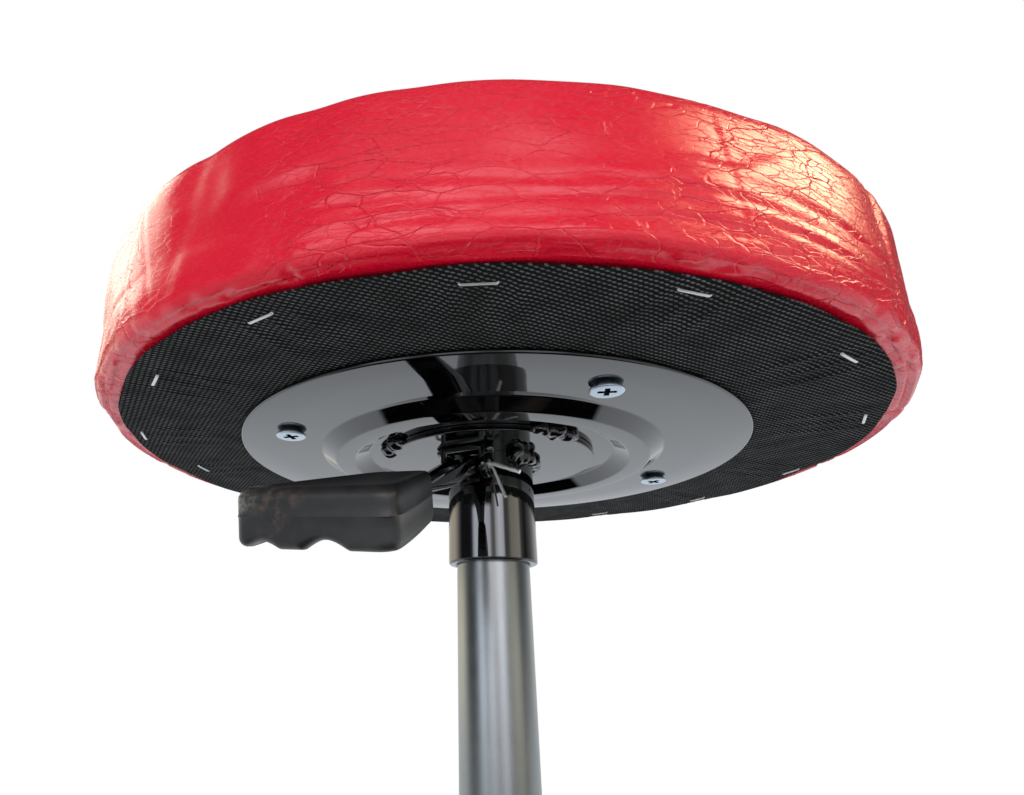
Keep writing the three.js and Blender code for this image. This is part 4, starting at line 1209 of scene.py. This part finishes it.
def paddle_plan():
    """Half of the plan, from the back's middle to the front's middle, as (along, half width)."""
    length = PADDLE_END - PADDLE_START
    corners = [Vector((PADDLE_START + a * length, b * PADDLE_HALF)) for a, b in PLAN_SHARES]
    return spaced(flowing(corners, 16), lambda place: 0.7 * MM)


def make_paddle():
    half = paddle_plan()
    outline = [(p.x, p.y) for p in half] + [(p.x, -p.y) for p in reversed(half[1:-1])]
    middle_y = (PADDLE_START + PADDLE_END) / 2
    bottom = PADDLE_TOP - PADDLE_THICK
    # Each ring is (shrink in metres, share of the outline kept beyond that, height)
    shares = (0.02, 0.15, 0.3, 0.45, 0.6, 0.72, 0.82, 0.9, 0.96)
    rings = [(PADDLE_EDGE, share, bottom) for share in shares]
    rounding = [(PADDLE_EDGE * (1 - math.sin(a)), PADDLE_EDGE * (1 - math.cos(a)))
                for a in np.linspace(0, math.pi / 2, 7)]
    rings += [(shrink, 1, bottom + rise) for shrink, rise in rounding]
    parting = bottom + 0.54 * PADDLE_THICK
    flash = 0.35 * MM
    rings += [(0, 1, parting - 3 * MM), (0, 1, parting - flash), (-0.16 * MM, 1, parting),
              (0, 1, parting + flash), (0, 1, PADDLE_TOP - PADDLE_EDGE - 1.2 * MM)]
    rings += [(shrink, 1, PADDLE_TOP - rise) for shrink, rise in reversed(rounding)]
    rings += [(PADDLE_EDGE, share, PADDLE_TOP) for share in reversed(shares)]
    points = []
    middle = (bottom + PADDLE_TOP) / 2
    for shrink, share, height in rings:
        for along, side in outline:
            length_share = 1 - shrink / (0.5 * (PADDLE_END - PADDLE_START))
            side_share = 1 - shrink / PADDLE_HALF
            y = middle_y + (along - middle_y) * length_share * share
            x = side * side_share * share
            z = height
            if z < middle:
                lift = 0.0
                for centre, width, depth in GROOVES:
                    gap = (x / PADDLE_HALF - centre) / width
                    if abs(gap) < 1:
                        lift += depth * MM * math.cos(gap * math.pi / 2)
                front = min(max((y - PADDLE_START - 4 * MM) / (8 * MM), 0), 1)
                lift = lift * front + PADDLE_HOLLOW * min(max((0.96 - share) / 0.14, 0), 1)
                z = middle - (middle - z) * (1 - lift / (middle - bottom))
            elif share < 1:
                z -= PADDLE_DISH * (1 - share ** 3)
            points.append((x, -y, z))
    paddle = bar("lever_handle", points, len(outline), 40)
    lean = Matrix.Rotation(PADDLE_LEAN, 4, "Y")
    slope = Matrix.Rotation(LEVER_SLOPE, 4, "X")
    paddle.data.transform(Matrix.Translation(PIVOT) @ slope @ lean)
    return paddle


dress(make_paddle(), "lever", "black_plastic", paddle_material(), "lever_paddle")

# %% [markdown]
# Zinc-plated steel of the gas spring
#
# The pressure tube is drawn steel with bright zinc. Drawing leaves faint lines along the tube, so the bump is
# stretched along Z, and the reflections of upright things run down it as streaks.

# %% Zinc tube
def zinc_material(name):
    material, *_ = drifting_material(name, {"Metallic": 1.0}, {"Scale": 120.0, "Detail": 5.0, "Roughness": 0.7},
                                     (0.24, 0.42), colours=("#868a8a", "#9ca0a0"),
                                     skin=({"Scale": 900.0, "Detail": 3.0}, 0.03, 0.25, 0.02 * MM))
    return material


zinc = zinc_material("bright_zinc_tube")
tube_low, tube_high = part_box("pressure_tube")
SHOULDER = 24 * MM


def make_pressure_tube():
    inner = TUBE_RADIUS - 1.5 * MM
    profile = [
        (inner, tube_low.z), (TUBE_RADIUS - 0.5 * MM, tube_low.z), (TUBE_RADIUS, tube_low.z + 0.5 * MM),
        (TUBE_RADIUS, tube_high.z - SHOULDER), (13.2 * MM, tube_high.z - 0.6 * MM), (12.6 * MM, tube_high.z),
        (6 * MM, tube_high.z), (6 * MM, tube_high.z - 1.5 * MM), (11.7 * MM, tube_high.z - 1.5 * MM),
        (inner, tube_high.z - SHOULDER),
    ]
    return turned("zinc_tube", profile, 128, closed=True, degrees=30)


dress(make_pressure_tube(), "seat", "bright_zinc", zinc, "pressure_tube")

# %% [markdown]
# Button, and what stays hidden
#
# The gas spring's red button shows through the slot. The pieces inside the tube and the column can't be seen
# from outside, so the CAD nodes stay and only get their finish.

# %% Button and inner pieces
def plastic_material(name, deep, pale, roughness, grain_bump):
    material, *_ = drifting_material(name, {"IOR": 1.49}, {"Scale": 30.0, "Detail": 3.0},
                                     (roughness - 0.06, roughness + 0.08), colours=(deep, pale),
                                     skin=({"Scale": 1500.0, "Detail": 2.0}, 1, grain_bump, 0.06 * MM))
    return material


nylon = plastic_material("black_glass_filled_nylon", "#252729", "#2a2c2e", 0.5, 0.35)
button_red = plastic_material("red_acetal", "#b01f17", "#c2231b", 0.35, 0.1)
pale_nylon = plastic_material("natural_nylon", "#c7c5be", "#dcdad2", 0.5, 0.1)
rubber = plastic_material("black_rubber", "#202021", "#242526", 0.8, 0.4)
plywood = plastic_material("birch_plywood", "#b6986c", "#c9a878", 0.7, 0.3)
raw_steel = zinc_material("turned_steel")


def finish_nodes(material, *nodes):
    for node in nodes:
        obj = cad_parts[node]
        obj.data.materials.clear()
        obj.data.materials.append(material)


finish_nodes(button_red, "release_button")
finish_nodes(pale_nylon, "tube_guide_ring")
finish_nodes(rubber, "bump_stop")
finish_nodes(plywood, "seat_board")
finish_nodes(raw_steel, "valve_body", "piston", "piston_rod", "rod_clip", "lower_race", "ball_cage", "upper_race")

# %% [markdown]
# Column and base
#
# Below the photograph's edge the stool stands on a black column and a moulded five-leg base. The column and
# its bush are turned again with many sides; the base keeps the CAD's form with softened edges.

# %% Column and bush
column_low, column_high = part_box("outer_column")
bush_low, bush_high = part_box("guide_bush")
COLUMN_RADIUS = column_high.x


def make_column():
    low, high = column_low.z, column_high.z
    wall = 1.6 * MM
    hub_top = 126 * MM
    foot = COLUMN_RADIUS - 1.4 * MM
    profile = [
        (5 * MM, low), (foot - 0.5 * MM, low), (foot, low + 0.5 * MM), (COLUMN_RADIUS, hub_top),
        (COLUMN_RADIUS, high - 0.5 * MM), (COLUMN_RADIUS - 0.5 * MM, high), (COLUMN_RADIUS - wall, high),
        (COLUMN_RADIUS - wall, hub_top), (foot - wall, low + 3 * MM), (5 * MM, low + 3 * MM),
    ]
    return turned("column_tube", profile, 128, closed=True, degrees=30)


def make_bush():
    flange = bush_high.x
    seat = column_high.z + FIT_GAP
    bore = TUBE_RADIUS + 0.5 * MM
    outer = COLUMN_RADIUS - 1.9 * MM
    profile = [
        (bore, bush_low.z), (outer, bush_low.z), (outer, seat), (flange, seat), (flange, seat + 2.6 * MM),
        (flange - 0.4 * MM, seat + 3.6 * MM), (flange - 1.8 * MM, bush_high.z - 0.2 * MM),
        (flange - 3.4 * MM, bush_high.z), (bore + 0.8 * MM, bush_high.z), (bore, bush_high.z - 0.8 * MM),
    ]
    return turned("bush_collar", profile, 128, closed=True, degrees=30)


dress(make_column(), "root", "black_enamel", enamel, "outer_column")
dress(make_bush(), "root", "black_plastic", nylon, "guide_bush")

# %% Base
dress(refined("star_base", 1.2 * MM, 24), "root", "black_plastic", nylon, "star_base")

# %% [markdown]
# Casters
#
# Each caster is a hood that carries an axle with two hollow wheels, on a steel stem. One wheel and one hood
# are shaped once; every caster gets its own copy, because each turns on a body of its own.

# %% Caster pieces
CASTERS = 5
LEG_RADIUS = 220 * MM
TRAIL = 26 * MM
WHEEL_RADIUS = 25 * MM
AXLE_HEIGHT = WHEEL_RADIUS * math.cos(math.pi / 20)


def make_wheel(name, side):
    """A tyre face with rounded shoulders and a dished, ringed disc, its axis along X."""
    inner, outer = 8.4 * MM, 24 * MM
    rim = AXLE_HEIGHT
    tread = 2.6 * MM
    bore = (4.5 * MM, 20.5 * MM)
    profile = [(0, bore[1]), bore, (bore[0], inner), (rim - tread, inner)]
    profile += arc((rim - tread, inner + tread), tread, 0, math.pi / 2, 7)[1:]
    profile += arc((rim - tread, outer - tread), tread, math.pi / 2, math.pi, 7)
    # The disc's steps: how far in from the rim, and how far below the outer face
    steps = ((4.2, 0.8), (8, 1.0), (9, 0.3), (15, 0.6))
    profile += [(rim - inward * MM, outer - depth * MM) for inward, depth in steps] + [(0, outer - 0.9 * MM)]
    wheel = turned(name, profile, 72, degrees=30)
    wheel.data.transform(Matrix.Rotation(side * math.pi / 2, 4, "Y"))
    return smooth(faces_outwards(wheel), 30)


for i in range(1, CASTERS + 1):
    angle = math.radians(90 + 72 * (i - 1))
    tip = Vector((LEG_RADIUS * math.cos(angle), LEG_RADIUS * math.sin(angle), 0))
    for word, side in (("left", -1), ("right", 1)):
        wheel = make_wheel(f"wheel_{i}_{word}", side)
        wheel.data.transform(Matrix.Translation(tip + Vector((0, -TRAIL, AXLE_HEIGHT))))
        dress(wheel, f"wheel_{i}_{word}", "black_plastic", nylon, f"caster_{i}_wheel_{word}")
    hood = refined(f"caster_{i}_hood", 0.8 * MM, 24)
    dress(hood, f"caster_{i}", "black_plastic", nylon, f"caster_{i}_hood")
    finish_nodes(raw_steel, f"caster_{i}_stem", f"caster_{i}_axle")
print("casters:", CASTERS)
